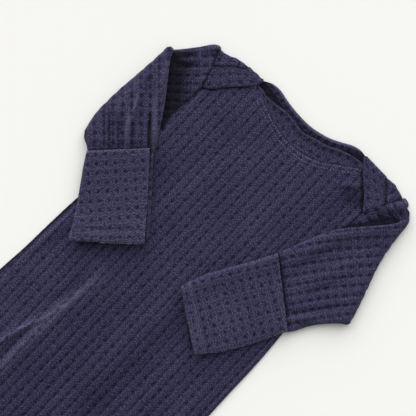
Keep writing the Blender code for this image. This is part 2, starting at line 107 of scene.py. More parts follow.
NECK_FRONT = (  # free edge x, y, seam x, y, from under one lap to under the other
    (-82.0, -10.2, -76.0, -19.0), (-68.0, -8.0, -62.0, -13.0), (-51.2, -6.9, -46.6, -12.2),
    (-43.4, -8.8, -37.6, -15.2), (-33.1, -8.6, -28.6, -18.8), (-21.7, -7.3, -18.0, -22.0),
    (-10.9, -8.7, -9.4, -24.1), (-0.1, -10.1, -0.2, -24.7), (12.0, -7.1, 12.6, -23.2),
    (22.4, -4.4, 26.0, -18.4), (32.1, 0.0, 38.4, -10.6), (41.2, 2.7, 47.4, -4.6),
    (51.9, 4.6, 56.0, 0.4), (66.0, 3.4, 68.0, -1.6), (79.0, 2.6, 79.0, -5.0),
)
# On each armhole, y of the front band's free edge, the lap's seam, the front's seam and the lap's free edge
LEVELS = (
    (-13.6, -22.0, -27.0, -41.0),
    (-2.6, -8.6, -12.6, -26.0),
)
LAP_SEAM_X = (-71.0, 77.0)  # where the neckband's seam crosses each shoulder fold
FRONT_INSET = 2.0  # how far the front's left side lies inside the back's
HEM = 18.0  # how deep the gown's hem is
HEM_ROWS, NECK_ROWS = (HEM + 1.4, HEM - 2.4), (1.5, 5.0)  # the stitches' distance from hem and neck seam
# A sleeve's edges on the shoulder's and on the underarm's side, as it lies: under is from the armhole to
# the elbow, over is from there to the wrist. The elbow is a line between two points. From it the fold
# bulges out, given at shares of its length. The cut's edge runs past the ends of the fold by three
# lengths: above it, at the turn and below it.
SLEEVES = (
    dict(
        under=((-97.0, -6.6, -90.6, -89.2), (-100.6, -4.9, -93.6, -92.0), (-105.8, -8.0, -98.4, -97.0),
               (-112.3, -16.6, -107.0, -106.0), (-120.4, -26.4, -120.0, -119.0)),
        elbow=((-131.9, -34.8), (-132.6, -135.4)),
        ends=((-1.6, -1.6, -1.6), (3.9, 0.6, 0.6)),
        bulge=((0.0, 0.0), (0.14, 0.6), (0.28, 1.9), (0.42, 3.3), (0.56, 4.8), (0.7, 5.4), (0.79, 5.4),
               (0.87, 4.4), (0.94, 3.2), (1.0, 1.6)),
        over=((-121.6, -42.8, -127.0, -140.2), (-112.5, -55.3, -123.6, -142.2),
              (-102.6, -68.9, -119.6, -145.6), (-94.2, -82.0, -115.6, -150.4),
              (-86.4, -95.0, -110.6, -158.0), (-78.4, -109.6, -104.6, -166.4),
              (-65.1, -125.1, -95.6, -180.0), (-49.0, -144.2, -86.2, -193.6),
              (-34.4, -163.4, -80.4, -205.4)),
    ),
    dict(
        under=((98.9, 7.4, 97.0, -86.6), (101.8, 7.6, 101.0, -89.0), (104.6, 6.4, 106.0, -91.8),
               (105.7, 5.8, 114.4, -94.8), (106.5, 5.0, 124.6, -98.4)),
        elbow=((113.6, -1.0), (137.7, -101.2)),
        ends=((5.5, -2.0, -5.6), (2.0, 0.6, 0.4)),
        bulge=((0.0, -0.6), (0.035, 0.5), (0.07, 1.0), (0.11, 0.1), (0.17, -1.1), (0.25, -2.2), (0.36, -3.3),
               (0.47, -3.6), (0.6, -2.9), (0.72, -1.8), (0.86, -0.9), (1.0, -0.3)),
        over=((108.6, -12.0, 131.6, -105.1), (101.5, -20.8, 127.5, -108.7), (90.2, -33.2, 122.4, -114.0),
              (78.0, -46.9, 116.4, -120.9), (68.6, -61.4, 111.3, -129.0), (60.6, -79.7, 106.8, -137.1),
              (52.4, -98.0, 101.2, -144.0), (40.2, -124.0, 88.3, -163.6), (25.8, -148.8, 75.1, -186.0),
              (16.2, -171.0, 54.6, -208.6)),
    ),
)
CUFFS = (  # inner edge x, y, outer edge x, y, from the free end to the hem
    ((-84.6, -107.8, -120.8, -144.6), (-75.6, -118.4, -114.6, -155.4), (-65.0, -130.8, -105.8, -168.8),
     (-54.3, -143.6, -96.6, -182.9), (-43.9, -156.3, -87.8, -197.4), (-34.4, -167.6, -81.6, -208.4)),
    ((52.6, -99.1, 102.4, -140.4), (42.1, -117.8, 94.0, -156.6), (30.9, -135.8, 85.1, -173.1),
     (20.6, -153.7, 73.6, -190.6), (12.8, -172.6, 58.8, -206.1)),
)
print("shoulder to hem", -BODY[0][1], "mm, chest", round(BODY[-1][2] - BODY[-1][0]), "mm")

# %% [markdown]
# ## Curves and distances
#
# A few rows in a table are enough for a smooth outline, because a Catmull-Rom curve runs through
# all of them. The distance from an edge is needed everywhere: it trims a cut to its outline, rounds
# a folded edge, flattens the waffle beside a seam and lets a soft fold fade out.

# %% Helpers for curves
def curve(table, count):
    """Points of a smooth curve through the rows of a table."""
    rows = np.array(table, float)
    at = np.linspace(0, len(rows) - 1, count)
    i = np.minimum(at.astype(int), len(rows) - 2)
    t = (at - i)[:, None]
    a, b, c, d = (rows[np.clip(i + k, 0, len(rows) - 1)] for k in (-1, 0, 1, 2))
    return 0.5 * (2 * b + (c - a) * t + (2 * a - 5 * b + 4 * c - d) * t**2 + (3 * b - a - 3 * c + d) * t**3)


def ease(value):
    """A smooth step: 0 up to 0, 1 from 1 on."""
    value = np.clip(value, 0.0, 1.0)
    return value * value * (3 - 2 * value)


def part_of(table, column, start, end, count):
    """The stretch of a curve between two values of one of its columns."""
    dense = curve(table, 400)
    order = np.argsort(dense[:, column])
    wanted = np.linspace(start, end, count)
    return np.stack([np.interp(wanted, dense[order, column], dense[order, c]) for c in (0, 1)], 1)


def nearest(line, points):
    """Distance of each point from a line of points, the nearest place on it, and how far along that lies."""
    best = np.full(len(points), 1e9)
    place, share = np.zeros((len(points), 2)), np.zeros(len(points))
    for k, (a, b) in enumerate(zip(line[:-1], line[1:])):
        along = np.clip(((points - a) @ (b - a)) / max((b - a) @ (b - a), 1e-9), 0, 1)
        spot = a + along[:, None] * (b - a)
        far = np.hypot(*(points - spot).T)
        closer = far < best
        best[closer], place[closer], share[closer] = far[closer], spot[closer], k + along[closer]
    return best, place, share / (len(line) - 1)


def distance(points, *lines):
    """Distance of each point from the nearest of some lines."""
    return np.min([nearest(line, points)[0] for line in lines], axis=0)


def inside(outline, points):
    """Which points lie inside a closed outline."""
    x, y = points.T
    within = np.zeros(len(points), bool)
    for (x1, y1), (x2, y2) in zip(outline, np.roll(outline, -1, 0)):
        if y1 != y2:
            within ^= ((y1 > y) != (y2 > y)) & (x < (x2 - x1) * (y - y1) / (y2 - y1) + x1)
    return within


# %% [markdown]
# ## A flat cut on the lines of the knit
#
# A knitted cloth has a direction: its ribs run along the cut. So each cut starts as a net of squares
# in step with the ribs, six to eight squares to a waffle, and every rib gets the same few rows of
# points all along. The net is then trimmed to the outline, and the points of its ragged border are
# moved on to the outline itself.

# %% The net of a cut
def on_knit(points, knit):
    """Places on the knit: across the ribs and along them. The ribs may run in a wide bend."""
    x, y, turn, bend = knit
    across, along = (math.cos(turn), math.sin(turn)), (-math.sin(turn), math.cos(turn))
    away = np.asarray(points, float) - (x, y)
    a, b = away @ across, away @ along
    if not bend:
        return np.stack([a, b], 1)
    centre = 1 / bend
    side = math.copysign(1, centre)
    bent_across = centre - side * np.hypot(centre - a, b)
    bent_along = np.arctan2(b * side, (centre - a) * side) * centre
    return np.stack([bent_across, bent_along], 1)


def off_knit(places, knit):
    """The other way: where a place on the knit lies on the flat cut."""
    x, y, turn, bend = knit
    a, b = places.T
    if bend:
        a, b = 1 / bend - (1 / bend - a) * np.cos(bend * b), (1 / bend - a) * np.sin(bend * b)
    return np.stack(
        [x + a * math.cos(turn) - b * math.sin(turn), y + a * math.sin(turn) + b * math.cos(turn)], 1
    )


def cut(outline, knit, squares):
    """A net on the knit trimmed to an outline: flat points, places on the knit, squares, border edges."""
    edge = on_knit(outline, knit)
    step = CELL / squares
    low, high = np.floor(edge.min(0) / step), np.ceil(edge.max(0) / step)
    across, along = np.meshgrid(np.arange(low[0], high[0] + 1), np.arange(low[1], high[1] + 1), indexing="ij")
    spots = np.stack([across, along], -1).reshape(-1, 2) * step
    closed = np.vstack([edge, edge[:1]])
    depth, near, _ = nearest(closed, spots)
    keep = (inside(edge, spots) & (depth > 0.35 * step)).reshape(across.shape)
    whole = keep[:-1, :-1] & keep[1:, :-1] & keep[1:, 1:] & keep[:-1, 1:]
    index = np.arange(across.size).reshape(across.shape)
    faces = net_squares(index)[whole]
    used, faces = np.unique(faces, return_inverse=True)
    faces = faces.reshape(-1, 4)
    spots, near = spots[used], near[used]
    border = border_of(faces)
    rim = np.unique(border)
    spots[rim] = near[rim]
    corner = np.abs(turning(edge)) > 0.6
    for point in edge[corner]:
        k = rim[np.argmin(np.hypot(*(spots[rim] - point).T))]
        if np.hypot(*(spots[k] - point)) < 1.5 * step:
            spots[k] = point
    return off_knit(spots, knit), spots, faces, border


def net_squares(index):
    """The squares of a net, from the numbers of its points in rows and columns."""
    return np.stack([index[:-1, :-1], index[1:, :-1], index[1:, 1:], index[:-1, 1:]], -1)


def border_of(faces):
    """Edges with a face on one side only, in the sense of that face."""
    sides = np.concatenate([faces[:, [k, (k + 1) % 4]] for k in range(4)])
    key = np.sort(sides, 1) @ (1, 1 + faces.max())
    _, back, count = np.unique(key, return_inverse=True, return_counts=True)
    return sides[count[back.reshape(-1)] == 1]


def turning(outline):
    """How sharply a closed outline turns at each of its points."""
    ahead = np.roll(outline, -1, 0) - outline
    angle = np.arctan2(ahead[:, 1], ahead[:, 0])
    return (angle - np.roll(angle, 1) + math.pi) % (2 * math.pi) - math.pi


# %% [markdown]
# ## Ribs and hollows
#
# In a waffle knit broad ribs run along the cloth and thinner ones cross them, and the cloth sinks
# about a millimetre between them. Each hollow here is a little deeper or shallower than its
# neighbours, as hands and washing leave it. Beside a seam the stitching holds the cloth flat, so the
# waffle fades there and the cloth dips into the seam.

# %% The waffle's relief
uneven = np.random.default_rng(11).random((96, 96, 3))


def waffle(places, dash=0.36, width=0.26, rib=0.4):
    """How deep the cloth lies below its ribs: a dimple in each waffle and a groove between the ribs."""
    u, v = places.T / CELL
    cell = uneven[np.floor(u).astype(int) % 96, np.floor(v).astype(int) % 96]
    across = (u % 1 - 0.5 + 0.06 * (cell[:, 1] - 0.5)) / width
    along = (v % 1 - 0.5 + 0.08 * (cell[:, 2] - 0.5)) / dash
    dimple = 1 - ease((np.hypot(across, along) - 0.25) / 1.05)
    groove = 1 - ease(np.abs(across) / 1.3)
    return (0.6 * dimple + rib * groove) * (0.55 + 0.7 * cell[:, 0])


def swell(x, y, long=60.0):
    """A slow unevenness of cloth that was smoothed out by hand, about -1 to 1."""
    x, y = x / long, y / long
    return (
        0.45 * np.sin(5.1 * x + 1.3 * y + 0.6) * np.cos(3.7 * y - 1.9 * x)
        + 0.35 * np.sin(2.3 * x - 4.9 * y + 2.1)
        + 0.2 * np.sin(8.9 * x + 6.3 * y + 4.0)
    )


def line_at(distance, at, wide):
    """A soft line that runs at a distance from an edge: 1 along its middle, fading over its width."""
    return np.exp(-(((distance - at) / wide) ** 2))


def tone(rise, dark=0.55, light=0.12):
    """How a crease looks: dark in deep ones, a touch lighter on high ones, as painted shade and painted
    highlight.
    """
    return dark * np.minimum(rise, 0) + light * np.maximum(rise, 0)


def creases(points, table):
    """Height of creases laid by hand: height or depth, half-width, and the places that each runs through."""
    rise = np.zeros(len(points))
    for high, half, *marks in table:
        away, _, along = nearest(curve(marks, 6 * len(marks)), points)
        rise += high * np.sin(math.pi * (0.07 + 0.86 * along)) ** 0.8 * line_at(away, 0, half)
    return rise


# %% [markdown]
# ## Folding a cut over
#
# A shoulder lap and a folded sleeve are the same thing: beyond a line, the flat cut turns over and
# lies on what it was cut with. The cloth needs a half circle's length for the turn. A point's place
# follows from how far it lies beyond the line.

# %% Fold a flat cut about a line
def fold_line(points):
    """A nearly straight fold as its direction, its outward side and how far out it lies along the way."""
    points = np.asarray(points, float)
    along = (points[-1] - points[0]) / np.hypot(*(points[-1] - points[0]))
    return along, np.array((-along[1], along[0])), points


def beyond(points, fold):
    """How far points lie beyond a fold, and the nearest places on it, square to its direction."""
    along, out, line = fold
    way = points @ along
    order = np.argsort(line @ along)
    reach = np.interp(way, (line @ along)[order], (line @ out)[order])
    return points @ out - reach, way[:, None] * along + reach[:, None] * out


def folded(points, fold, radius, turn_length, rises):
    """Place, height above the unfolded part, and outward normal of each point once the cut is folded."""
    along, out, _ = fold
    past, on_fold = beyond(points, fold)
    turn = np.clip(past / turn_length, 0, 1) * math.pi
    flat = np.where((past > 0)[:, None], on_fold + np.outer(radius * np.sin(turn), out), points)
    flat -= np.outer(np.maximum(past - turn_length, 0), out)
    height = rises * radius * (1 - np.cos(turn))
    normal = np.column_stack([np.outer(np.sin(turn), out), -rises * np.cos(turn)])
    return flat, height, normal, turn


def unfolded(points, fold, turn_length):
    """Where points of the folded part lie on the flat cut."""
    past, _ = beyond(points, fold)
    return points + np.outer(turn_length - 2 * past, fold[1])


# %% [markdown]
# ## From a cut to a piece of cloth
#
# The finished sheet is one surface with the cloth's own edge: a narrow rim that rolls over by the
# cloth's thickness. The places on the knit become the piece's UV map, one unit to a waffle, so the
# colour of the ribs and hollows follows the cloth round every fold. A value called laid is kept at
# each point too, for painted light and shade: above zero a painted highlight along the crest of a
# fold, below zero painted shade in deep creases, beside seams and under edges, where hardly any
# light comes.

# %% Make a sheet of cloth from its points
SOFT_EDGE = ((0.3, 0.25), (0.5, 0.8), (0.3, 1.35), (-1.2, 1.6))  # out, down from the ribs


def rolled(points, places, faces, normals, border, profile=SOFT_EDGE):
    """Adds rows that roll over the border of a sheet."""
    rim = np.unique(border)
    at = np.full(len(points), -1)
    at[rim] = np.arange(len(rim))
    across = np.cross(points[border[:, 1]] - points[border[:, 0]], normals[border[:, 0]])
    outward = np.zeros((len(rim), 3))
    for k in (0, 1):
        np.add.at(outward, at[border[:, k]], across)
    outward /= np.maximum(np.linalg.norm(outward, axis=1), 1e-9)[:, None]
    rows, below = [rim], []
    profile = np.broadcast_to(profile, (len(rim), *np.shape(profile)[-2:]))
    for n in range(profile.shape[1]):
        below.append(points[rim] + outward * profile[:, n, :1] - normals[rim] * profile[:, n, 1:])
        rows.append(len(points) + n * len(rim) + np.arange(len(rim)))
    a, b = at[border[:, 0]], at[border[:, 1]]
    strips = [np.stack([up[b], up[a], low[a], low[b]], 1) for up, low in zip(rows[:-1], rows[1:])]
    return (
        np.vstack([points, *below]),
        np.vstack([places, *[places[rim]] * profile.shape[1]]),
        np.vstack([faces, *strips]),
        np.concatenate([np.arange(len(points)), *[rim] * profile.shape[1]]),
    )


def both_skins(faces, joined):
    """The squares of two skins, the second turned over. They share the points where they are joined."""
    second = np.arange(len(joined)) + np.where(joined, 0, len(joined))
    return np.vstack([faces, second[faces][:, ::-1]])


def rounded(edge, radius):
    """The shape of a round edge: 0 at the edge itself, 1 from the radius on."""
    return np.sqrt(1 - (1 - np.clip(edge / radius, 0, 1)) ** 2)


def dropped(edge, drop):
    """How far cloth bends down towards its edge, over the last three millimetres."""
    return drop * (1 - np.sqrt(np.clip(edge / 3.0, 0, 1)))


flat_cuts = {}  # width, length and area of each piece's cut, in mm


def note_cut(name, outline, knit, layers=1):
    """Keeps the size of a flat cut along the ribs, all round for a tube."""
    across, along = np.ptp(on_knit(outline, knit), axis=0)
    x, y = outline.T
    area = abs(x @ np.roll(y, -1) - y @ np.roll(x, -1)) / 2
    wide, long, area = flat_cuts[name] = (layers * across, along, layers * area)
    print(name, "was cut", round(wide), "x", round(long), "mm,", round(area / 100), "cm2")


def sheet(name, points, places, faces, colour, laid=None):
    """A mesh of these points and squares, in metres, with its place on the knit as UV map.

    laid holds painted light and shade: a painted highlight on a fold's crest (up to 1), painted shade where
    the cloth lies dark (down to -1).
    """
    mesh = bpy.data.meshes.new(name)
    points[:, 2] = np.maximum(points[:, 2], 0.02)
    mesh.from_pydata(((points + (0, TOP, 0)) * MM).tolist(), [], faces.tolist())
    corners = np.empty(len(mesh.loops), np.int32)
    mesh.loops.foreach_get("vertex_index", corners)
    mesh.uv_layers.new(name="knit").data.foreach_set("uv", (places[corners] / CELL).ravel())
    # The piece's painted highlight and painted shade, kept as its laid attribute
    wear_and_painted_light = np.zeros(len(points), np.float32)
    if laid is not None:
        wear_and_painted_light[: len(laid)] = np.clip(laid, -1, 1)
    mesh.attributes.new("laid", "FLOAT", "POINT").data.foreach_set("value", wear_and_painted_light)
    mesh.shade_smooth()
    mesh.materials.append(colour)
    piece = bpy.data.objects.new(name, mesh)
    bpy.context.scene.collection.objects.link(piece)
    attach(piece, "root")
    print(name, len(faces), "squares")
    return piece


def flat_sheet(name, points, height, places, faces, border, colour, laid, profile=SOFT_EDGE):
    """A sheet that lies flat, with its outer side up at a height of its own at each point."""
    up = np.tile((0.0, 0.0, 1.0), (len(points), 1))
    base = np.column_stack([points, height])
    base, places, faces, source = rolled(base, places, faces, up, border, profile)
    return sheet(name, base, places, faces, colour, laid[source])


# %% [markdown]
# ## The colour of the knit
#
# The yarn is a deep navy with a hint of violet, quite matt, with short fibres that catch the light
# at a low angle. The hollows look darker because light hardly reaches them, and the fine rows of
# stitches show as a faint ladder. All of it is made from the places on the knit, so it is the same
# on every piece, and only the flaps of the hands are a touch lighter.

# %% Short words for adding a material's nodes
def node_words(material):
    """Functions that add a node of any kind, a sum, a smooth step and a noise to a material."""
    nodes, links = material.node_tree.nodes, material.node_tree.links

    def node(kind, inputs, **settings):
        made = nodes.new(kind)
        for key, value in settings.items():
            setattr(made, key, value)
        for slot, given in inputs.items():
            if isinstance(given, bpy.types.NodeSocket):
                links.new(given, made.inputs[slot])
            else:
                made.inputs[slot].default_value = given
        return made

    def maths(operation, first, second=0.0, third=0.0):
        return node("ShaderNodeMath", {0: first, 1: second, 2: third}, operation=operation).outputs[0]

    def fades(value, low, high, start=0.0, end=1.0, kind="SMOOTHSTEP"):
        limits = {"Value": value, "From Min": low, "From Max": high, "To Min": start, "To Max": end}
        return node("ShaderNodeMapRange", limits, interpolation_type=kind).outputs["Result"]

    def noise(place, scale, detail, rough):
        grain = {"Vector": place, "Scale": scale, "Detail": detail, "Roughness": rough}
        return node("ShaderNodeTexNoise", grain).outputs["Fac"]

    return node, maths, fades, noise


def new_material(name):
    """A material with nodes, and the shader that gives it its look."""
    material = bpy.data.materials.new(name)
    material.use_nodes = True
    return material, material.node_tree.nodes["Principled BSDF"]


# %% The knit's material
CREST_HIGHLIGHT = (0.066, 0.070, 0.112, 1)  # the colour of the painted highlight on a fold's crest
SHADE_FROM, SHADE_TO = 1.46, 2.56  # what the sum of all the marks below runs between


def knitted(
    name, rib, hollow, dash=0.38, width=0.22, dimpled=1.0, grooved=0.55, crossed=0.0, ringed=0.2
):
    """Ribs and hollows of two colours. The last values say how strong each kind of mark is."""
    material, shader = new_material(name)
    links = material.node_tree.links
    node, maths, fades, noise = node_words(material)

    place = node("ShaderNodeUVMap", {}, uv_map="knit").outputs["UV"]
    split = node("ShaderNodeSeparateXYZ", {"Vector": place})
    u, v = split.outputs["X"], split.outputs["Y"]
    fibres, wander = noise(place, 7.0, 1.5, 0.9), noise(place, 2.2, 1.0, 0.5)
    wear_and_painted_light = noise(place, 0.22, 2.0, 0.5)

    # The dimple of a waffle: round on most pieces, long where the cloth is pulled
    across = maths("DIVIDE", maths("SUBTRACT", 0.5, maths("PINGPONG", u, 0.5)), width)
    along = maths("DIVIDE", maths("SUBTRACT", 0.5, maths("PINGPONG", v, 0.5)), dash)
    far = maths("SQRT", maths("MULTIPLY_ADD", across, across, maths("MULTIPLY", along, along)))
    far = maths("ADD", far, maths("MULTIPLY_ADD", wander, 1.6, -0.8))
    dimple = fades(far, 0.1, 1.1, dimpled, 0.0)
    ring = maths("MULTIPLY", fades(far, 0.7, 1.15), fades(far, 1.3, 2.0, 1.0, 0.0))
    uneven_across = maths("MULTIPLY_ADD", wander, 0.8, maths("ADD", across, -0.4))
    groove = fades(uneven_across, 0.0, 1.2, grooved * dimpled, 0.0)
    deep = maths("MAXIMUM", dimple, groove)

    # Three rows of stitches to a waffle along the ribs, drawn as small uneven loops
    counted = {"X": maths("MULTIPLY", u, 2.4), "Y": maths("MULTIPLY", v, 3.0)}
    loops = node("ShaderNodeCombineXYZ", counted).outputs[0]
    one_loop = {"Vector": loops, "Scale": 1.0, "Randomness": 0.62}
    loop = node("ShaderNodeTexVoronoi", one_loop, voronoi_dimensions="2D")
    stitch = maths("SUBTRACT", 1.0, loop.outputs["Distance"])
    slant = maths("MULTIPLY", maths("PINGPONG", maths("MULTIPLY", u, 2.5), 0.5), 1.1)
    slanted = maths("ADD", maths("MULTIPLY_ADD", v, 3.0, slant), maths("MULTIPLY", wander, 0.7))
    stroke = fades(maths("PINGPONG", slanted, 0.5), 0.12, 0.44)
    shade = maths("MULTIPLY_ADD", stitch, 0.45, maths("MULTIPLY", wear_and_painted_light, 0.30))
    shade = maths("MULTIPLY_ADD", fibres, 2.5, shade)
    flecks = fades(noise(place, 10.0, 0.0, 0.5), 0.52, 0.66)
    shade = maths("MULTIPLY_ADD", stroke, 0.30, shade)
    shade = maths("MULTIPLY_ADD", flecks, maths("MULTIPLY_ADD", ring, ringed, 0.30), shade)
    if crossed:
        between = maths("MULTIPLY_ADD", wander, 0.16, maths("PINGPONG", v, 0.5))
        shade = maths("ADD", shade, fades(between, 0.06, 0.20, crossed, 0.0))
    # The painted highlight and painted shade of each piece, from its laid attribute, join the marks
    laid = node("ShaderNodeAttribute", {}, attribute_name="laid").outputs["Fac"]
    shade = maths("MULTIPLY_ADD", laid, 0.55, shade)

    # The colour: rib, or hollow in painted shade, a painted highlight on the crests,
    # lighter and paler or darker and richer by shade
    mixed = node("ShaderNodeMix", {0: deep, 6: rib, 7: hollow}, data_type="RGBA").outputs[2]
    painted_highlight = maths("MULTIPLY", fades(laid, 0.1, 1.0, 0.0, 0.8), maths("MULTIPLY_ADD", flecks, 0.6, 0.4))
    painted_highlight = maths("MULTIPLY", painted_highlight, maths("MULTIPLY_ADD", deep, -0.7, 1.0))
    mixed = node("ShaderNodeMix", {0: painted_highlight, 6: mixed, 7: CREST_HIGHLIGHT}, data_type="RGBA").outputs[2]
    bright = fades(shade, SHADE_FROM, SHADE_TO, 0.24, 1.84, "LINEAR")
    rich = fades(shade, SHADE_FROM, SHADE_TO, 1.25, 0.80, "LINEAR")
    # Painted shadow: where laid falls towards -1 the colour drops to under half its brightness
    bright = maths("MULTIPLY", bright, fades(laid, -1.0, -0.5, 0.45, 1.0))
    varied = node("ShaderNodeHueSaturation", {"Value": bright, "Saturation": rich, "Color": mixed})
    links.new(varied.outputs["Color"], shader.inputs["Base Color"])

    high = maths("SUBTRACT", maths("MULTIPLY_ADD", stitch, 1.2, fibres), maths("MULTIPLY", dimple, 0.6))
    bump = node("ShaderNodeBump", {"Strength": 0.7, "Distance": 0.0007, "Height": high})
    links.new(bump.outputs["Normal"], shader.inputs["Normal"])
    for slot, value in (
        ("Roughness", 0.92), ("Specular IOR Level", 0.2), ("Sheen Weight", 0.12), ("Sheen Roughness", 0.5),
        ("Sheen Tint", (0.62, 0.60, 0.85, 1)),
    ):
        shader.inputs[slot].default_value = value
    print(name, "has", len(material.node_tree.nodes), "nodes")
    return material


RIB, HOLLOW = (0.0362, 0.0336, 0.0760, 1), (0.0112, 0.0094, 0.0330, 1)
NAVY = knitted("navy_waffle", RIB, HOLLOW)
SLEEVE_NAVY = knitted(
    "navy_waffle_sleeve", RIB, HOLLOW, dash=0.40, width=0.26, grooved=0.5, crossed=0.15, ringed=0.4
)
SOFT_NAVY = knitted(
    "soft_navy_waffle", (0.0358, 0.0334, 0.0740, 1), (0.0125, 0.0106, 0.0350, 1), dash=0.27, width=0.27,
    grooved=0.0, crossed=0.25, ringed=0.45,
)
BINDING = knitted(
    "navy_binding", (0.0358, 0.0332, 0.0750, 1), (0.0118, 0.0100, 0.0335, 1), dash=0.3, width=0.3,
    grooved=0.1, ringed=0.4,
)

# %% [markdown]
# ## The back, with its two laps
#
# The back is cut in one with the laps that come over the shoulders on to the front. Its outer side
# faces the table. The laps turn over at the shoulder with a soft roll, and end at the seam of the
# neckband.

# %% Outline of the back as it was cut
def armhole(side, start, end, count):
    """The stretch of an armhole's seam between two values of y."""
    return part_of(ARMHOLES[side], 1, start, end, count)


def whole_armhole(side, count):
    """An armhole's seam from the shoulder to the underarm."""
    return armhole(side, ARMHOLES[side][0][1], ARMHOLES[side][-1][1], count)


def on_armhole(side, level):
    """The place on an armhole's seam that a column of LEVELS names."""
    y = LEVELS[side][level]
    return armhole(side, y, y, 1)[0]


def lap_table(side):
    """Cross-sections of a lap's band from the shoulder fold to the armhole: free edge and seam."""
    corner = SHOULDER_FOLDS[side][-1]
    crossing = part_of(SHOULDER_FOLDS[side], 0, LAP_SEAM_X[side], LAP_SEAM_X[side], 1)[0]
    return [(*corner, *crossing), *LAP_BANDS[side], (*on_armhole(side, 3), *on_armhole(side, 1))]


LAP_TURN = math.pi * (LAP_FOLD + WALL / 2)
shoulder_folds = [fold_line(curve(SHOULDER_FOLDS[0], 40)), fold_line(curve(SHOULDER_FOLDS[1], 40)[::-1])]
sides = curve(BODY, 60)
neck_back_table = [lap_table(0)[0], *NECK_BACK, lap_table(1)[0]]
neck_back_seam = curve(neck_back_table, 60)[:, 2:]


def lap_outline(side):
    """A lap's edges on the flat cut, from the shoulder at the armhole round to the neck."""
    top = ARMHOLES[side][0][1]
    end = armhole(side, top, LEVELS[side][1], 8)
    seam = curve(lap_table(side), 16)[::-1, 2:]
    return unfolded(np.vstack([end, seam]), shoulder_folds[side], LAP_TURN)


back_outline = np.vstack([
    sides[:, 2:],
    whole_armhole(1, 30)[::-1],
    lap_outline(1),
    neck_back_seam[::-1],
    lap_outline(0)[::-1],
    whole_armhole(0, 30),
    sides[::-1, :2],
])
BODY_KNIT = (1.2, -300.0, 0.0, 0.0)
note_cut("back_cloth", back_outline, BODY_KNIT)

# %% The back's relief and tone
BACK_CREASES = (  # pressed flat by the table, so only their hollows show
    (-1.4, 2.4, (-40, -190), (-46, -240), (-52, -300), (-58, -360)),
    (-1.0, 2.0, (30, -150), (27, -210), (29, -270), (34, -330)),
    (-1.2, 2.2, (62, -60), (48, -84), (30, -104)),
    (-1.1, 2.0, (-60, -58), (-44, -82), (-26, -98)),
    (-1.3, 2.6, (-8, -400), (-12, -460), (-10, -520)),
    (-1.1, 2.2, (74, -420), (78, -470), (84, -520)),
    (-0.9, 1.8, (-86, -200), (-92, -260), (-98, -310)),
)
HEM_STEP, HEM_LINE = 1.5, 0.9  # over how much the doubled hem ends, and half of what a row draws in
whole_armholes = [whole_armhole(side, 40) for side in (0, 1)]


def seam_dip(depth, wide=2.6, deep=0.7):
    """How far the cloth sinks beside a seam."""
    return deep * (1 - ease(depth / wide))


def hemmed_at(points):
    """How high points lie above the hem's edge, and how far they are in the hem, from 0 to 1."""
    at_hem = points[:, 1] - BODY[0][1]
    return at_hem, 1 - ease((at_hem - HEM) / HEM_STEP)


def back_relief(points, places, normal):
    """How deep the back lies below its ribs, and its distance from the nearest seam."""
    seams = [*whole_armholes, lap_outline(0), lap_outline(1), neck_back_seam]
    depth = distance(points, *seams)
    calm = 0.35 + 0.65 * np.abs(normal[:, 2])
    at_hem, in_hem = hemmed_at(points)
    sink = waffle(places) * ease((depth - 1.0) / 3.0) * calm * (1 - 0.6 * in_hem) + seam_dip(depth, deep=1.1)
    sink += sum(0.5 * line_at(at_hem, row, HEM_LINE) for row in HEM_ROWS)
    at_neck = distance(points, neck_back_seam)
    sink = np.maximum(sink, sum(0.7 * line_at(at_neck, row, 1.1) for row in NECK_ROWS))
    return sink - tone(creases(points, BACK_CREASES), dark=0.3, light=0.0), depth


def back_tone(points, place, normal, side):
    """Painted shade in the creases, at the ends of the laps, beside their bands and down the left side."""
    at_end = distance(place, *whole_armholes)
    at_band = distance(place, *(curve(lap_table(k), 40)[:, 2:] for k in (0, 1)))
    on_lap = normal[:, 2] > 0.5
    dark = tone(creases(points, BACK_CREASES))
    dark -= on_lap * np.where(side == 0, 1.3, 0.35) * line_at(at_end, 0, 1.5)
    # painted shade along the seam of each lap's band, a painted highlight just beside it
    dark -= on_lap * (1.1 * line_at(at_band, 0, 1.1) - 0.35 * line_at(at_band, 2.8, 1.0))
    return dark - 0.8 * (1 - ease(distance(points, sides[:, :2]) / 4))


# %% Lay out the back
def lay_back():
    points, places, faces, border = cut(back_outline, BODY_KNIT, squares=6)
    side = np.where(points[:, 0] < 0, 0, 1)
    place, height, normal = np.zeros_like(points), np.zeros(len(points)), np.zeros((len(points), 3))
    for k in (0, 1):
        mine = side == k
        fold = shoulder_folds[k]
        place[mine], height[mine], normal[mine], _ = folded(points[mine], fold, LAP_FOLD, LAP_TURN, 1)
    sink, depth = back_relief(points, places, normal)
    out = WALL / 2 - np.minimum(sink, 1.5)
    out += np.where(normal[:, 2] > 0.5, 0.5 * swell(*place.T, long=22) * ease(depth / 6), 0)
    base = np.column_stack([place, Z_BACK + height]) + normal * out[:, None]
    base, places, faces, source = rolled(base, places, faces[:, ::-1], normal, border[:, ::-1])
    return sheet("back_cloth", base, places, faces, NAVY, back_tone(points, place, normal, side)[source])


back_cloth = lay_back()

# %% [markdown]
# ## The front
#
# The front lies on the back and joins it at the sides. It was smoothed out by hand, so it is nearly
# flat, with a few soft folds that grow towards the hem, a shallow hollow beside the lap on the
# right, and a slow unevenness all over.

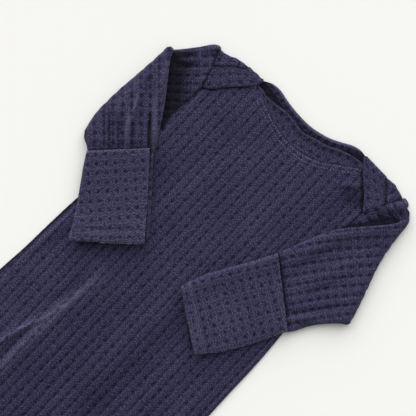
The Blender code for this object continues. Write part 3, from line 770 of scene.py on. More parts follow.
# %% The front's outline and folds
FRONT_CREASES = (  # height, half-width, and the way
    (3.4, 6.2, (-43.4, -214), (-45.3, -241), (-48.4, -262), (-48.8, -285), (-49.5, -306), (-50.3, -328),
     (-52, -370), (-57, -430)),
    (3.0, 2.8, (-46.8, -248), (-50.7, -263), (-57.5, -281), (-63.4, -297), (-66.4, -310), (-71, -335),
     (-78, -384)),
    (-1.6, 3.2, (-49.0, -256), (-52.6, -277), (-56.5, -297), (-58, -314), (-61, -340)),
    (-1.4, 3.4, (-51.0, -220), (-53.6, -241), (-60.0, -260)),
    (1.8, 4.4, (-95.6, -184), (-98.4, -207), (-101.0, -226), (-103.6, -244), (-107, -264), (-111, -300),
     (-114, -340)),
    (-1.3, 5.0, (-88, -190), (-92, -216), (-96, -239), (-99, -266)),
    (1.5, 2.4, (50.5, -22.5), (57.0, -17.0), (66.5, -9.5)),
    (-2.4, 7.0, (62, -31), (68.5, -24.0), (79.0, -20.0)),
    (-1.2, 3.0, (53.5, -25.0), (60.5, -19.5), (70.0, -13.0)),
    (1.2, 9.0, (12.8, -132), (10.9, -185), (8.9, -244), (3.6, -312), (0, -380)),
    (-0.9, 7.0, (34, -170), (29, -240), (27, -320), (30, -400)),
    (1.3, 9.0, (57, -190), (52, -250), (58, -330), (62, -420)),
    (1.0, 6.0, (-30, -60), (-38, -110), (-44, -160)),
    (-0.8, 8.0, (-66, -110), (-70, -160), (-78, -200)),
    (0.9, 7.0, (30, -48), (24, -84), (20, -122)),
    (2.0, 9.0, (86, -210), (88, -300), (94, -380)),
    (3.0, 10.0, (30, -390), (40, -460), (47, -548)),
    (-1.4, 9.0, (8, -420), (2, -490), (-4, -548)),
    (2.4, 9.0, (-82, -420), (-90, -480), (-97, -548)),
    (1.8, 8.0, (-30, -450), (-34, -500), (-39, -548)),
    (2.2, 8.0, (84, -440), (92, -500), (97, -548)),
)
CREST_LINES = (  # where a painted highlight runs along the crests of the folds between the flaps
    (0.38, 3.2, (-42.5, -208), (-45.6, -238), (-47.5, -262), (-51.5, -281), (-54.4, -292),
     (-52.8, -305), (-51, -317), (-51, -332), (-53, -370)),
    (0.60, 1.1, (-47.6, -250), (-50.1, -261), (-54.1, -274), (-61.7, -290), (-65.9, -308), (-71, -335),
     (-78, -384)),
    (0.25, 6.0, (-42.0, -212), (-45.5, -235), (-48.5, -260)),
    (0.30, 3.2, (-101.0, -212), (-103.6, -230), (-105.6, -250), (-109, -300)),
)
LAP_SHADOWS = ((0.9, 1.6), (1.1, 2.4))  # how dark and how wide, under the edge of each lap
front_sections_table = [
    (*on_armhole(0, 0), *on_armhole(0, 2)), *NECK_FRONT, (*on_armhole(1, 0), *on_armhole(1, 2)),
]
front_sections = curve(front_sections_table, 90)
front_neck, right_side = front_sections[:, 2:], sides[:, 2:]
left_inset = FRONT_INSET * ease((-92.0 - sides[:, 1]) / 40.0)
left_side = sides[:, :2] + np.column_stack([left_inset, np.zeros(60)])
front_armholes = [armhole(k, LEVELS[k][2], ARMHOLES[k][-1][1], 30) for k in (0, 1)]
front_outline = np.vstack([
    right_side, front_armholes[1][::-1], front_neck[::-1], front_armholes[0], left_side[::-1],
])
note_cut("front_cloth", front_outline, BODY_KNIT)


# %% The front's relief and tone
def pulled(points):
    """How far the waffle is pulled open, from 0 to 1: most in the lower part."""
    x, y = points.T
    return ease((-150 - y) / 160) * ease((x + 70) / 60)


def front_height(points, places, folds, at_neck, at_armholes):
    """How high the outer side stands above the middle of the cloth."""
    at_seams = np.minimum(at_neck, at_armholes)
    at_sides = distance(points, right_side, left_side)
    at_hem, in_hem = hemmed_at(points)
    low = pulled(points)
    sink = waffle(places, rib=0.4 + 0.5 * low) * (0.85 + 0.35 * low) * (1 - 0.6 * in_hem)
    sink *= ease((np.minimum(at_seams, at_sides + 1.0) - 0.8) / 2.6)
    sink += np.maximum(seam_dip(at_armholes), seam_dip(at_neck, wide=2.0, deep=0.4))
    sink += sum(0.5 * line_at(at_hem, row, HEM_LINE) for row in HEM_ROWS)
    loose = ease(np.minimum(at_seams / 26, at_sides / 14))
    rise = folds * (0.25 + 0.75 * ease(at_seams / 7))
    rise += (1.3 + 0.55 * swell(*points.T, long=52)) * loose + 0.5 * in_hem
    return WALL / 2 + np.maximum(rise - dropped(at_sides, 1.2) - sink, -1.7)


def front_tone(points, folds, at_neck, at_armholes):
    """Painted highlight on the crests and beside the seams, painted shade in the seams and under the laps."""
    painted_highlight = creases(points, CREST_LINES) * (0.8 + 0.4 * swell(*points.T, long=12))
    laid = tone(folds, dark=0.25, light=0.1) + painted_highlight - 0.22 * pulled(points)
    for side, (dark, wide) in enumerate(LAP_SHADOWS):
        lap = curve(lap_table(side), 40)
        under_lap = inside(np.vstack([lap[:, :2], lap[::-1, 2:]]), points)
        laid -= dark * line_at(distance(points, lap[:, :2]), 0, wide) + under_lap
    laid += 0.3 * line_at(at_neck, 0, 1.3)
    laid += 0.3 * line_at(at_armholes, 3.0, 1.2) - line_at(at_armholes, 0, 1.3)
    # painted highlight just inside each side edge, painted shade on the edge itself
    at_left, at_right = distance(points, left_side), distance(points, right_side)
    laid += 0.25 * ease(at_left / 2) * (1 - ease((at_left - 5) / 4)) - 0.8 * line_at(at_left, 0, 1.1)
    return laid + 0.55 * line_at(at_right, 3.0, 0.8) - 0.5 * line_at(at_right, 1.6, 0.8)


# %% Lay out the front
def lay_front():
    points, places, faces, border = cut(front_outline, BODY_KNIT, squares=7)
    folds = creases(points, FRONT_CREASES)
    at_neck, at_armholes = distance(points, front_neck), distance(points, *front_armholes)
    height = Z_FRONT + front_height(points, places, folds, at_neck, at_armholes)
    laid = front_tone(points, folds, at_neck, at_armholes)
    return flat_sheet("front_cloth", points, height, places, faces, border, NAVY, laid)


front_cloth = lay_front()

# %% [markdown]
# ## The sleeves
#
# A sleeve is a tube. Flat on the table it has two skins with a rounded edge on each side, and it is
# folded over the front at the elbow, so it lies double up to the armhole. Both skins come from the
# same cut: what lies inside on one skin lies outside on the other.

# %% The sleeves' creases
SLEEVE_CREASES = (  # on what lies over the front
    (
        (-3.4, 1.3, (-104.0, -86.0), (-100.6, -89.8), (-96.5, -95.2), (-91.3, -100.6), (-85.7, -106.7),
         (-81.1, -111.5)),
        (1.3, 1.2, (-121.0, -77.0), (-113.7, -88.2), (-108.6, -97.3), (-103.3, -103.8), (-97.1, -110.4)),
        (1.2, 1.1, (-122.0, -82.5), (-115.2, -93.7), (-110.9, -101.8), (-105.2, -108.7), (-100.7, -112.7)),
        (1.0, 1.1, (-122.5, -92.0), (-118.7, -96.9), (-111.4, -106.4), (-105.8, -113.3)),
        (1.6, 2.4, (-105.0, -78.6), (-95.0, -90.2), (-84.0, -102.8)),
        (-1.5, 1.3, (-131.0, -106.0), (-119.7, -119.0), (-107.0, -132.0)),
        (-1.3, 1.3, (-122.9, -104.0), (-114.2, -113.9), (-102.5, -126.0)),
        (-1.0, 1.2, (-118.0, -92.0), (-109.0, -103.0), (-98.0, -117.0)),
        (1.6, 2.4, (-124.3, -73.2), (-116.7, -91.1), (-109.6, -107.3), (-99.0, -121.0)),
        (-1.1, 2.2, (-125.3, -65.5), (-116.0, -84.6), (-106.8, -101.5), (-95.6, -116.0)),
        (1.0, 3.0, (-117.0, -55.0), (-108.0, -74.0), (-104.0, -84.0)),
        (-0.7, 3.0, (-124.5, -142.0), (-105.2, -124.3), (-85.5, -104.3)),
        (1.2, 4.0, (-130.0, -60.0), (-130.0, -84.0), (-124.0, -108.0)),
    ),
    (
        (-1.2, 2.2, (88.0, -132.6), (99.5, -121.4), (110.3, -108.5), (125.9, -89.3)),
        (1.2, 2.6, (93.5, -136.4), (102.7, -125.6), (116.9, -111.5), (131.8, -95.6)),
        (-1.9, 3.0, (54.0, -98.7), (73.5, -115.5), (94.0, -131.1)),
        (1.1, 6.0, (84.3, -46.0), (73.0, -72.6), (64.3, -98.9)),
        (-1.0, 3.0, (84.0, -62.0), (76.0, -84.0), (72.0, -104.0)),
        (0.9, 3.0, (106.0, -50.0), (96.0, -76.0), (86.0, -100.0)),
        (-0.9, 2.6, (113.0, -62.0), (104.0, -84.0), (93.0, -108.0)),
        (-1.6, 2.0, (104.6, -131.0), (110.9, -124.9), (119.7, -118.4)),
    ),
)
POCKET_CREASES = (  # on what lies under it, beside the armhole
    (
        (3.6, 4.0, (-96.5, -9.5), (-99.5, -6.5), (-104.0, -9.0), (-108.0, -14.5)),
        (2.0, 3.0, (-97.0, -14.0), (-93.0, -24.0), (-90.6, -36.0)),
        (-1.6, 1.8, (-117.4, -32.6), (-109.0, -22.4)),
        (-1.8, 1.9, (-122.4, -41.9), (-112.5, -38.2), (-105.3, -30.4)),
        (1.6, 2.2, (-119.0, -36.5), (-111.0, -29.6), (-105.0, -22.0)),
    ),
    (
        (3.4, 4.6, (77.8, -21.6), (91.9, -8.4), (103.0, 3.4)),
        (2.6, 3.4, (98.0, 4.0), (104.0, 4.0), (110.0, -1.0)),
        (-1.6, 3.0, (90.9, -28.7), (98.8, -17.7), (106.1, -5.0)),
    ),
)
PUFFED = (1, 2)  # so many of the pocket's creases, from the first, lift both skins
SLEEVE_TONES = ((0.62, 0.32), (0.42, 0.2))  # how dark the painted shade and how light the painted highlight of the creases are
POCKET_SHADES = ((5, 22), (1, 5))  # how far in the shade under the fold starts to fade, and over how much
HEAD_SHADES = (1.0, 0.25)  # how dark the painted shade in the armhole's seam is

# %% The sleeves' folds and edges
SLEEVE_KNITS = (  # a place on the cut, the turn of the ribs, their bend
    (-88.0, -120.0, math.radians(43.0), 0.0),
    (80.0, -90.0, math.radians(-37.0), 1 / 450),
)
EDGE_LIFT = 7.0  # how high the inner edge stands off the front
HALF_ELBOW = FOLD + TUBE / 2  # from the middle of the cloth's turn to its outside
FOLD_TURN = math.pi * HALF_ELBOW
Z_ELBOW = Z_TUBE + 2 * FOLD  # the upper end of the turn
TURNED = 3.1  # nearly half a circle: what lies under the fold


def inner_edge(side, count):
    """The edge of the folded part that lies towards the middle of the gown."""
    return curve(np.array(SLEEVES[side]["over"])[:, :2], count)


def fold_rise(side, points):
    """How high the folded part stands above where it would lie flat: by its elbow and its inner edge."""
    elbow = np.array(SLEEVES[side]["elbow"])
    away = np.maximum(distance(points, elbow) - HALF_ELBOW, 0.0)
    at_elbow = (Z_ELBOW - Z_OVER) * (1 - ease(away / SOFTNESS))
    inner = np.vstack([elbow[0], np.array(SLEEVES[side]["over"])[:, :2]])
    from_inner, _, down = nearest(curve(inner, 24), points)
    return at_elbow + EDGE_LIFT * (1 - ease(from_inner / 17)) * ease(away / 12) * (1 - 0.55 * down)


def elbow_fold(side):
    """The line about which a sleeve turns, inside its outline by the thickness of the fold."""
    start, end = np.array(SLEEVES[side]["elbow"])
    along = (end - start) / np.hypot(*(end - start))
    out = np.array((along[1], -along[0])) * (1, -1)[side]
    marks = np.linspace(0, 1, 40)
    reach = np.interp(marks, *curve(SLEEVES[side]["bulge"], 80).T) - HALF_ELBOW
    return along, out, start + np.outer(marks, end - start) + np.outer(reach, out)


def sleeve_edges(side):
    """Both side edges of a sleeve on the flat cut, from the armhole to the wrist, its head and its fold."""
    along, out, line = fold = elbow_fold(side)
    head = whole_armhole(side, 40)
    over, under = curve(SLEEVES[side]["over"], 50), np.array(SLEEVES[side]["under"])
    edges = []
    for end, columns in ((0, slice(0, 2)), (-1, slice(2, 4))):
        below_fold = unfolded(curve(np.vstack([head[end], under[:, columns]]), 24), fold, FOLD_TURN)
        above, turned, below = (line[end] + spare * along for spare in SLEEVES[side]["ends"][end])
        edges.append(np.vstack([
            below_fold, below + FOLD_TURN * out, turned + 0.5 * FOLD_TURN * out, above, over[:, columns],
        ]))
    return edges, unfolded(head, fold, FOLD_TURN), fold


# %% The sleeves' tones
def over_tone(side, points):
    """Tone of the folded part: painted shade and highlight on its creases, a painted highlight along its
    inner edge, and painted shade round and under the flap.
    """
    flap = curve(CUFFS[side], 30)
    at_inner, at_flap = distance(points, inner_edge(side, 40)), distance(points, flap[:, :2])
    at_top = distance(points, flap[0].reshape(2, 2))
    past_hem, _, way_out = nearest(flap[-1].reshape(2, 2), points)
    laid = tone(creases(points, SLEEVE_CREASES[side]), *SLEEVE_TONES[side])
    laid += 0.55 * line_at(at_inner, 0.4, 0.9) - line_at(at_flap, 0, 1.2)
    laid -= 0.9 * (1 - ease(at_top / 3.4))
    return laid - (1 - ease((way_out - 0.86) / 0.1)) * (1 - ease(past_hem / 6))


def under_tone(side, place, at_head):
    """Tone of the part beside the armhole: painted shade under the fold and in the seam."""
    starts, fades = POCKET_SHADES[side]
    near_fold = 1 - ease((distance(place, inner_edge(side, 30)) - starts) / fades)
    at_seam = HEAD_SHADES[side] * line_at(at_head, 0, 1.4)
    return tone(creases(place, POCKET_CREASES[side])) - 1.1 * near_fold - at_seam


# %% Lay out the sleeves
def lay_sleeve(side, name):
    (near, far), head, fold = sleeve_edges(side)
    outline = np.vstack([near, far[::-1], head[::-1]])
    note_cut(name, outline, SLEEVE_KNITS[side], layers=2)
    points, places, faces, _ = cut(outline, SLEEVE_KNITS[side], squares=7)
    at_sides, at_head = distance(points, near, far), distance(points, head)
    place, height, normal, turn = folded(points, fold, FOLD, FOLD_TURN, -1)
    over, under = turn == 0, turn > TURNED
    middle = np.where(over, Z_OVER + fold_rise(side, points), Z_ELBOW + height)
    middle += np.where(under, 0.5 * creases(place, POCKET_CREASES[side][: PUFFED[side]]), 0)

    half = TUBE / 2 * rounded(at_sides, 2.4)
    calm = 0.4 + 0.6 * np.abs(normal[:, 2])
    sink = waffle(places, dash=0.42, width=0.30, rib=0.45) * calm
    sink *= ease((np.minimum(at_sides, at_head) - 0.6) / 2.0)
    air = 1.1 * ease(at_sides / 12) * (1 + 0.7 * swell(*points.T, long=34)) * ease(at_head / 8)
    crease, pocket = creases(points, SLEEVE_CREASES[side]), creases(place, POCKET_CREASES[side])
    upper_air = np.where(over, air + crease * ease(at_sides / 3), 0.15 * air)
    lower_air = np.where(under, pocket * ease(at_sides / 3), 0)
    skins = []
    for way, air in ((1, upper_air), (-1, lower_air)):
        lift = half - np.minimum(sink, half) - seam_dip(at_head) * (half > 1) + np.maximum(air, -half - 0.6)
        skins.append(np.column_stack([place, middle]) + way * normal * lift[:, None])
    laid = [np.where(over, over_tone(side, points), 0), np.where(under, under_tone(side, place, at_head), 0)]
    both = both_skins(faces, at_sides < 1e-6)
    return sheet(name, np.vstack(skins), np.vstack([places] * 2), both, SLEEVE_NAVY, np.concatenate(laid))


sleeve_right_cloth = lay_sleeve(0, "sleeve_right_cloth")
sleeve_left_cloth = lay_sleeve(1, "sleeve_left_cloth")

# %% [markdown]
# ## The flaps over the hands
#
# A flap lies over the wrist end of each sleeve, and turns over a baby's hand so that it can't
# scratch itself. It is one layer of the knit with a hem at the hand, turned under and sewn twice.
# A box with round edges would do for its shape, but a flat cut keeps the waffle in step with its
# own sides, and lets the hem stand a little off the sleeve, as it does on the real gown.

# %% Lay out the flaps
CUFF_KNITS = (  # as for the sleeves
    (-86.1, -140.8, math.radians(47.0), 0.0),
    (60.0, -150.0, math.radians(-33.5), 0.0),
)
CUFF_HEM = 10.5  # how deep the flaps' hems are
CUFF_ROWS = (CUFF_HEM - 0.6, CUFF_HEM - 4.4)  # their stitches' distance from the edge
HEM_LIFT = (6.0, 5.5)  # how high they stand off the sleeves
HEM_EDGE = ((0.6, 0.4), (0.9, 1.6), (0.6, 2.8), (-8.0, 3.1))  # like SOFT_EDGE, but turned under
FLAP_TONES = ((1.0, 0.6, 0.8), (0.5, 0.0, 0.5))  # painted shade at the hem's end and along it, painted highlight at the top


def lay_cuff(side, name):
    table = curve(CUFFS[side], 40)
    inner, outer = table[:, :2], table[:, 2:]
    outline = np.vstack([inner, outer[::-1]])
    note_cut(name, outline, CUFF_KNITS[side])
    points, places, faces, border = cut(outline, CUFF_KNITS[side], squares=8)
    at_sides = distance(points, inner, outer)
    at_top, at_hem = (distance(points, table[end].reshape(2, 2)) for end in (0, -1))
    depth = distance(points, np.vstack([outline, outline[:1]]))
    hemmed = 1 - ease((at_hem - CUFF_HEM) / HEM_STEP)
    sink = waffle(places, dash=0.28, width=0.28, rib=0.08) * ease((depth - 0.8) / 2.2) * (1 - 0.8 * hemmed)
    sink += 0.6 * line_at(at_hem, CUFF_HEM, HEM_LINE)
    rise = fold_rise(side, points) + 0.5 * hemmed - dropped(at_sides, 1.4)
    rise += HEM_LIFT[side] * (1 - ease(at_hem / 30)) - 0.8 * (1 - ease(at_top / 4))
    rise += 1.0 + 0.8 * ease(at_sides / 14) * (1 + 0.5 * swell(*points.T, long=26))
    height = Z_CUFF + WALL / 2 + rise - sink
    turned = (1 - ease(at_hem[np.unique(border)] / 3))[:, None, None]
    profile = turned * np.array(HEM_EDGE) + (1 - turned) * np.array(SOFT_EDGE)
    hem_end, hem_dip, top = FLAP_TONES[side]
    # Painted highlight along the sides, on the top edge and a touch over the hem; painted shade at the hem's
    # end and along it
    laid = 0.2 * hemmed + 0.35 * (1 - ease(at_sides / 2.5)) + top * line_at(at_top, 0.5, 0.8)
    laid -= hem_end * line_at(at_hem, CUFF_HEM, 1.0) + hem_dip * line_at(at_hem, 3.6, 0.8)
    return flat_sheet(name, points, height, places, faces, border, SOFT_NAVY, laid, profile)


cuff_right_cloth = lay_cuff(0, "cuff_right_cloth")
cuff_left_cloth = lay_cuff(1, "cuff_left_cloth")

# %% [markdown]
# ## The neckbands
#
# Two strips of the knit, folded in half along their length, finish the neck. The long one goes
# round the back of the neck and down the free edges of both laps, the short one along the top of
# the front. Each is made row by row between two lines, its free edge and its seam, so it can widen,
# turn over with the shoulder and stand up where the neck is open. A curve with a round profile
# would have the same width everywhere.

# %% Make a doubled band along its cross-sections
BAND_SHARES = np.linspace(0, 1, 19)


def band(name, free, seam, middle, normal, crest, shade, half=1.1, bead=0.0, marks=()):
    """A doubled strip: free edge and seam in plan, height of the middle and outward normal, row by row.

    crest is how high it arches (one value a row), the crest's half-width and how far in it lies.
    """
    high, crest_wide, crest_in = crest
    along = np.concatenate([[0], np.cumsum(np.linalg.norm(np.diff((free + seam) / 2, axis=0), axis=1))])
    wide = np.linalg.norm(free - seam, axis=1)
    rows = free[:, None] + (seam - free)[:, None] * BAND_SHARES[None, :, None]
    across = wide[:, None] * BAND_SHARES
    edge = np.minimum(across, wide[:, None] - across)
    thick = half * rounded(edge, 1.6) + bead * line_at(across, 1.8, 1.6) * (edge > 0)
    places = np.stack([across, np.broadcast_to(along[:, None], across.shape)], -1).reshape(-1, 2)
    sink = waffle(places, dash=0.3, width=0.3, rib=0.1).reshape(across.shape) * ease((edge - 1.0) / 2.0)
    if marks:
        sink -= creases(rows.reshape(-1, 2), marks).reshape(across.shape) * (edge > 0)
    lift = (thick - np.minimum(sink, thick))[..., None] * normal[:, None]
    centre = np.dstack([rows, middle[:, None] + high[:, None] * line_at(across, crest_in, crest_wide)])
    skins = [(centre + way * lift).reshape(-1, 3) for way in (1, -1)]
    index = np.arange(across.size).reshape(across.shape)
    both = both_skins(net_squares(index).reshape(-1, 4)[:, ::-1], (edge <= 0).ravel())
    # painted shade at both ends of the band
    at_ends = 1.2 * line_at(along, 0, 1.5) + 0.5 * line_at(along, along[-1], 1.5)
    laid = [(shade(across, wide[:, None], way) - at_ends[:, None]).ravel() for way in (1, -1)]
    print(name, "is", round(along[-1]), "mm long and", round(wide.mean(), 1), "mm wide")
    flat_cuts[name] = (wide.max(), along[-1], (wide[1:] + wide[:-1]) @ np.diff(along) / 2)
    return sheet(name, np.vstack(skins), np.vstack([places] * 2), both, BINDING, np.concatenate(laid))


# %% The front neckband
def front_shade(across, wide, way):
    """Painted shade along the free edge and a little painted highlight beside the seam."""
    return 0.3 * line_at(across, wide, 1.3) - 0.6 * line_at(across, 0, 0.9)


FRONT_ROWS = 260
front_band = curve(front_sections_table, FRONT_ROWS)
front_crest = 3.0 * ease((front_band[:, 0] + 51) / 16) * ease((55 - front_band[:, 0]) / 16)
neckband_front_cloth = band(
    "neckband_front_cloth", front_band[:, :2], front_band[:, 2:], np.full(FRONT_ROWS, Z_FRONT + 0.3),
    np.tile((0.0, 0.0, 1.0), (FRONT_ROWS, 1)), (front_crest, 4.5, 0.0), front_shade, bead=0.2,
)


# %% The back neckband
def turning_rows(start, out):
    """Cross-sections of the back neckband where it turns over with the shoulder."""
    for turn in math.pi * np.arange(1, 12) / 12:
        moved = start + np.tile(out * LAP_FOLD * math.sin(turn), 2)
        height = Z_BACK + LAP_FOLD * (1 - math.cos(turn))
        yield (*moved, height, *(out * math.sin(turn)), -math.cos(turn))


def back_band_rows():
    """All its cross-sections from lap to lap, and how far they stand up, which they do at the neck."""
    under = curve(neck_back_table, 150)
    laps = []
    for side, end in ((0, 0), (1, -1)):
        on_top = [(*row, Z_LAP, 0, 0, 1) for row in curve(lap_table(side), 70)]
        laps.append(np.array([*turning_rows(under[end], shoulder_folds[side][1]), *on_top]))
    flat = np.array([(*row, Z_BACK, 0, 0, -1) for row in under])
    middle = np.sin(np.pi * np.linspace(0, 1, 150)) ** 0.4
    at_neck = np.concatenate([np.zeros(len(laps[0])), middle, np.zeros(len(laps[1]))])
    return np.vstack([laps[0][::-1], flat, laps[1]]), at_neck


def back_shade(across, wide, way):
    """Painted shade below the part that stands up at the neck, and along the seam of the laps."""
    standing = 0.15 - 1.15 * ease((across - 5.2) / 1.4)
    return np.where((at_neck[:, None] > 0) & (way < 0), standing, -1.1 * line_at(across, wide, 1.2))


LAP_TUCK = (-0.9, 0.7, (-87.6, -20.2), (-81.4, -13.4), (-77.0, -8.6))  # pressed in where the lap ends
band_rows, at_neck = back_band_rows()
neckband_back_cloth = band(
    "neckband_back_cloth", band_rows[:, :2], band_rows[:, 2:4], band_rows[:, 4], band_rows[:, 5:],
    (3.8 * at_neck, 2.2, 2.4), back_shade, half=1.0, marks=(LAP_TUCK,),
)

# %% [markdown]
# ## Seams sewn from above
#
# A coverstitch machine sews two rows side by side with a slate thread: below the neckband, on the
# hems of the flaps and on the hem of the gown. One stitch is modelled, as a short rod with rounded
# ends, and copied along each row, laid on the cloth under it. The cut edge inside a flap's hem is
# overlocked with a paler thread, which shows where the hem gapes.

# %% Threads
def thread(name, yarn):
    """A twisted thread: the yarn's colour and a darker one in turn."""
    material, shader = new_material(name)
    node = node_words(material)[0]
    place = node("ShaderNodeTexCoord", {}).outputs["Object"]
    twist = node("ShaderNodeTexWave", {"Vector": place, "Scale": 900.0, "Distortion": 3.0}).outputs["Fac"]
    colours = {0: twist, 6: (*(0.6 * part for part in yarn), 1), 7: (*yarn, 1)}
    two = node("ShaderNodeMix", colours, data_type="RGBA").outputs[2]
    material.node_tree.links.new(two, shader.inputs["Base Color"])
    shader.inputs["Roughness"].default_value = 0.75
    return material


SLATE = thread("slate_thread", (0.150, 0.165, 0.235))
NAVY_THREAD = thread("navy_thread", (0.062, 0.066, 0.120))
PALE = thread("pale_overlock_thread", (0.27, 0.33, 0.31))

# %% One stitch
THREAD_RADIUS, STITCH_LONG, STITCH_BEVEL = 0.3, 1.5, 0.14
bpy.ops.object.select_all(action="DESELECT")
bpy.ops.mesh.primitive_cylinder_add(
    vertices=6, radius=THREAD_RADIUS * MM, depth=STITCH_LONG * MM, rotation=(0, math.pi / 2, 0)
)
stitch = bpy.context.object
bpy.ops.object.mode_set(mode="EDIT")
bpy.ops.mesh.select_all(action="SELECT")
bpy.ops.mesh.bevel(offset=STITCH_BEVEL * MM, segments=1)
bpy.ops.object.mode_set(mode="OBJECT")
bpy.ops.object.transform_apply(location=True, rotation=True, scale=True)
print("a stitch has", len(stitch.data.polygons), "faces")


# %% Sew rows of stitches on a piece of cloth
def walk(row, pitch):
    """Places at a pitch along a row, each with the way ahead of it."""
    way = np.concatenate([[0], np.cumsum(np.hypot(*np.diff(row, axis=0).T))])
    at = np.arange(pitch / 2, way[-1], pitch)
    here, ahead = (np.stack([np.interp(at + on, way, row[:, k]) for k in (0, 1)], 1) for on in (0, 0.4))
    return zip(here, ahead - here)


def sew(
    name, rows, cloth, colour, pitch=2.5, tilt=0.0, long=1.0, sink=0.0, below=False, moved=(0, 0, 0)
):
    """Copies of the stitch along rows of places in mm, on the upper or lower side of a piece of cloth."""
    mesh = cloth.data
    tree = BVHTree.FromPolygons([v.co for v in mesh.vertices], [p.vertices for p in mesh.polygons])
    copies, hand = [], np.random.default_rng(5)
    outside = -1 if below else 1
    for (x, y), (ahead_x, ahead_y) in (step for row in rows for step in walk(row, pitch)):
        needle = Vector((x, y + TOP, 60 * outside)) * MM
        hit, up, *_ = tree.ray_cast(needle, Vector((0, 0, -outside)))
        if hit is None:
            continue
        up = up if up.z * outside > 0 else -up
        turn = math.atan2(ahead_y, ahead_x) + tilt + hand.uniform(-0.3, 0.3)
        facing = Vector((math.cos(turn), math.sin(turn), 0))
        facing = (facing - up * facing.dot(up)).normalized()
        set_on = Matrix((facing * long, up.cross(facing), up)).transposed().to_4x4()
        set_on.translation = hit + up * (0.12 - sink) * MM + Vector(moved) * MM
        copy = stitch.copy()
        copy.data = stitch.data.copy()
        copy.data.transform(set_on @ Matrix.Scale(hand.uniform(0.75, 1.15), 4))
        bpy.context.scene.collection.objects.link(copy)
        copies.append(copy)
    bpy.ops.object.select_all(action="DESELECT")
    for copy in copies:
        copy.select_set(True)
    bpy.context.view_layer.objects.active = copies[0]
    bpy.ops.object.join()
    sewn = bpy.context.object
    sewn.name = sewn.data.name = name
    sewn.data.materials.clear()
    sewn.data.materials.append(colour)
    for polygon in sewn.data.polygons:
        polygon.use_smooth = True
    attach(sewn, "root")
    print(name, len(copies), "stitches")
    return sewn


# %% The rows
def beside_line(line, aside):
    """The same line moved sideways, to its right for a positive value."""
    ahead = np.gradient(line, axis=0)
    ahead /= np.hypot(*ahead.T)[:, None]
    return line + aside * np.stack([ahead[:, 1], -ahead[:, 0]], 1)


OPEN_NECK = (-46.5, 55.0)  # the front's seam can be seen between these values of x
TO_THE_LAP = (4.4, 3.4)  # the rows run straight on by this, till they are under the lap
neck_line = front_band[(front_band[:, 2] > OPEN_NECK[0]) & (front_band[:, 2] < OPEN_NECK[1])][:, 2:]
neck_line = np.vstack([neck_line, neck_line[-1] + TO_THE_LAP])
neck_stitches = sew(
    "neck_coverstitch", [beside_line(neck_line, row) for row in NECK_ROWS], front_cloth, SLATE
)
cuff_stitches = []
for side, cloth in ((0, cuff_right_cloth), (1, cuff_left_cloth)):
    before, at_hem = np.array(CUFFS[side][-2:]).reshape(2, 2, 2)
    inward = (before - at_hem).mean(0)
    inward /= np.hypot(*inward)
    inset = 0.97 * at_hem + 0.03 * at_hem.mean(0)  # the rows stop just short of the flap's side edges
    hem_rows = [np.linspace(*(inset + row * inward), 30) for row in CUFF_ROWS]
    name = ("cuff_right", "cuff_left")[side] + "_coverstitch"
    cuff_stitches.append(sew(name, hem_rows, cloth, NAVY_THREAD, pitch=2.0))
    if side == 0:
        threads = np.linspace(*at_hem, 40)[3:24] + 0.8 * inward
        overlock = sew(
            "cuff_right_overlock", [threads], cloth, PALE, pitch=1.1, tilt=math.radians(62),
            long=1.25, moved=(*(-1.5 * inward), -1.7),
        )
back_neck_stitches = sew(
    "back_neck_coverstitch", [beside_line(neck_back_seam[3:-3], row) for row in NECK_ROWS], back_cloth, SLATE,
    sink=0.25, below=True,
)
hem_line = np.linspace(BODY[0][:2], BODY[0][2:], 60)
back_hem_stitches = sew(
    "back_hem_coverstitch", [hem_line + (0, row) for row in HEM_ROWS], back_cloth, NAVY_THREAD,
    sink=0.25, below=True,
)
hem_stitches = sew(
    "hem_coverstitch", [hem_line + (0, row) for row in HEM_ROWS], front_cloth, NAVY_THREAD
)
bpy.data.objects.remove(stitch)

# %% [markdown]
# ## Floor, light and camera
#
# The gown lies on a pale table under one broad soft light from the top of the picture, with an even
# light from the room. The camera looks straight down from more than a metre, turned so that the
# gown lies across the picture and its hem is outside it.

# %% Floor and light
bpy.ops.mesh.primitive_plane_add(size=6.0, location=(0, 0, -0.0002))
floor = bpy.context.object
floor.name = "floor"
paper, matt = new_material("pale_floor")
matt.inputs["Base Color"].default_value = (0.845, 0.842, 0.812, 1)
matt.inputs["Roughness"].default_value = 0.9
matt.inputs["Specular IOR Level"].default_value = 0.1
floor.data.materials.append(paper)

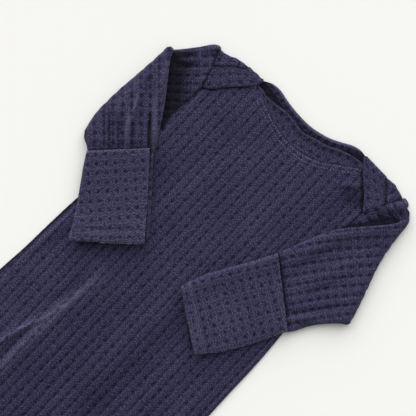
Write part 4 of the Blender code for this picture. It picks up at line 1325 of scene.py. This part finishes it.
world = bpy.data.worlds.new("room")
bpy.context.scene.world = world
world.use_nodes = True
room = world.node_tree.nodes["Background"].inputs
room["Color"].default_value = (1.0, 1.0, 1.0, 1)
room["Strength"].default_value = 0.40
TO_THE_WINDOW = Vector((-0.682, 0.731, 0.85))
bpy.ops.object.light_add(type="SUN", rotation=TO_THE_WINDOW.to_track_quat("Z", "Y").to_euler())
window = bpy.context.object
window.data.energy, window.data.angle = 3.4, math.radians(90)
bpy.context.scene.view_settings.view_transform = "Standard"

# %% Camera
DISTANCE, FRAME_WIDTH, TURN = 1.2, 0.3467, math.radians(43)
LOOKED_AT = Vector((-0.0154, 0.1574, 0.006))  # on the upper side of the front
bpy.ops.object.camera_add(location=LOOKED_AT + Vector((0, 0, DISTANCE)), rotation=(0, 0, TURN))
camera = bpy.context.object
camera.data.lens = camera.data.sensor_width * DISTANCE / FRAME_WIDTH
bpy.context.scene.camera = camera

# %% [markdown]
# ## Cloth in place of solids
#
# Each piece of cloth takes the place of one solid of the frame, which is hidden.

# %% Hide the solid that each piece of cloth stands for
right_hem, left_hem = ([stitches] for stitches in cuff_stitches)
for piece, node, slot, held, lies_on, sewn in (
    (back_cloth, "back_panel", "body_waffle", "folded", [floor], [back_neck_stitches, back_hem_stitches]),
    (front_cloth, "front_panel", "body_waffle", "laid", [back_cloth], [neck_stitches, hem_stitches]),
    (sleeve_right_cloth, "sleeve_right", "body_waffle", "folded", [floor, front_cloth], []),
    (sleeve_left_cloth, "sleeve_left", "body_waffle", "folded", [floor, front_cloth], []),
    (cuff_right_cloth, "cuff_right", "cuff_waffle", "laid", [sleeve_right_cloth], [*right_hem, overlock]),
    (cuff_left_cloth, "cuff_left", "cuff_waffle", "laid", [sleeve_left_cloth], left_hem),
    (neckband_back_cloth, "neckband_back", "neck_binding", "folded", [floor, front_cloth], []),
    (neckband_front_cloth, "neckband_front", "neck_binding", "laid", [back_cloth], []),
):
    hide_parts(node)
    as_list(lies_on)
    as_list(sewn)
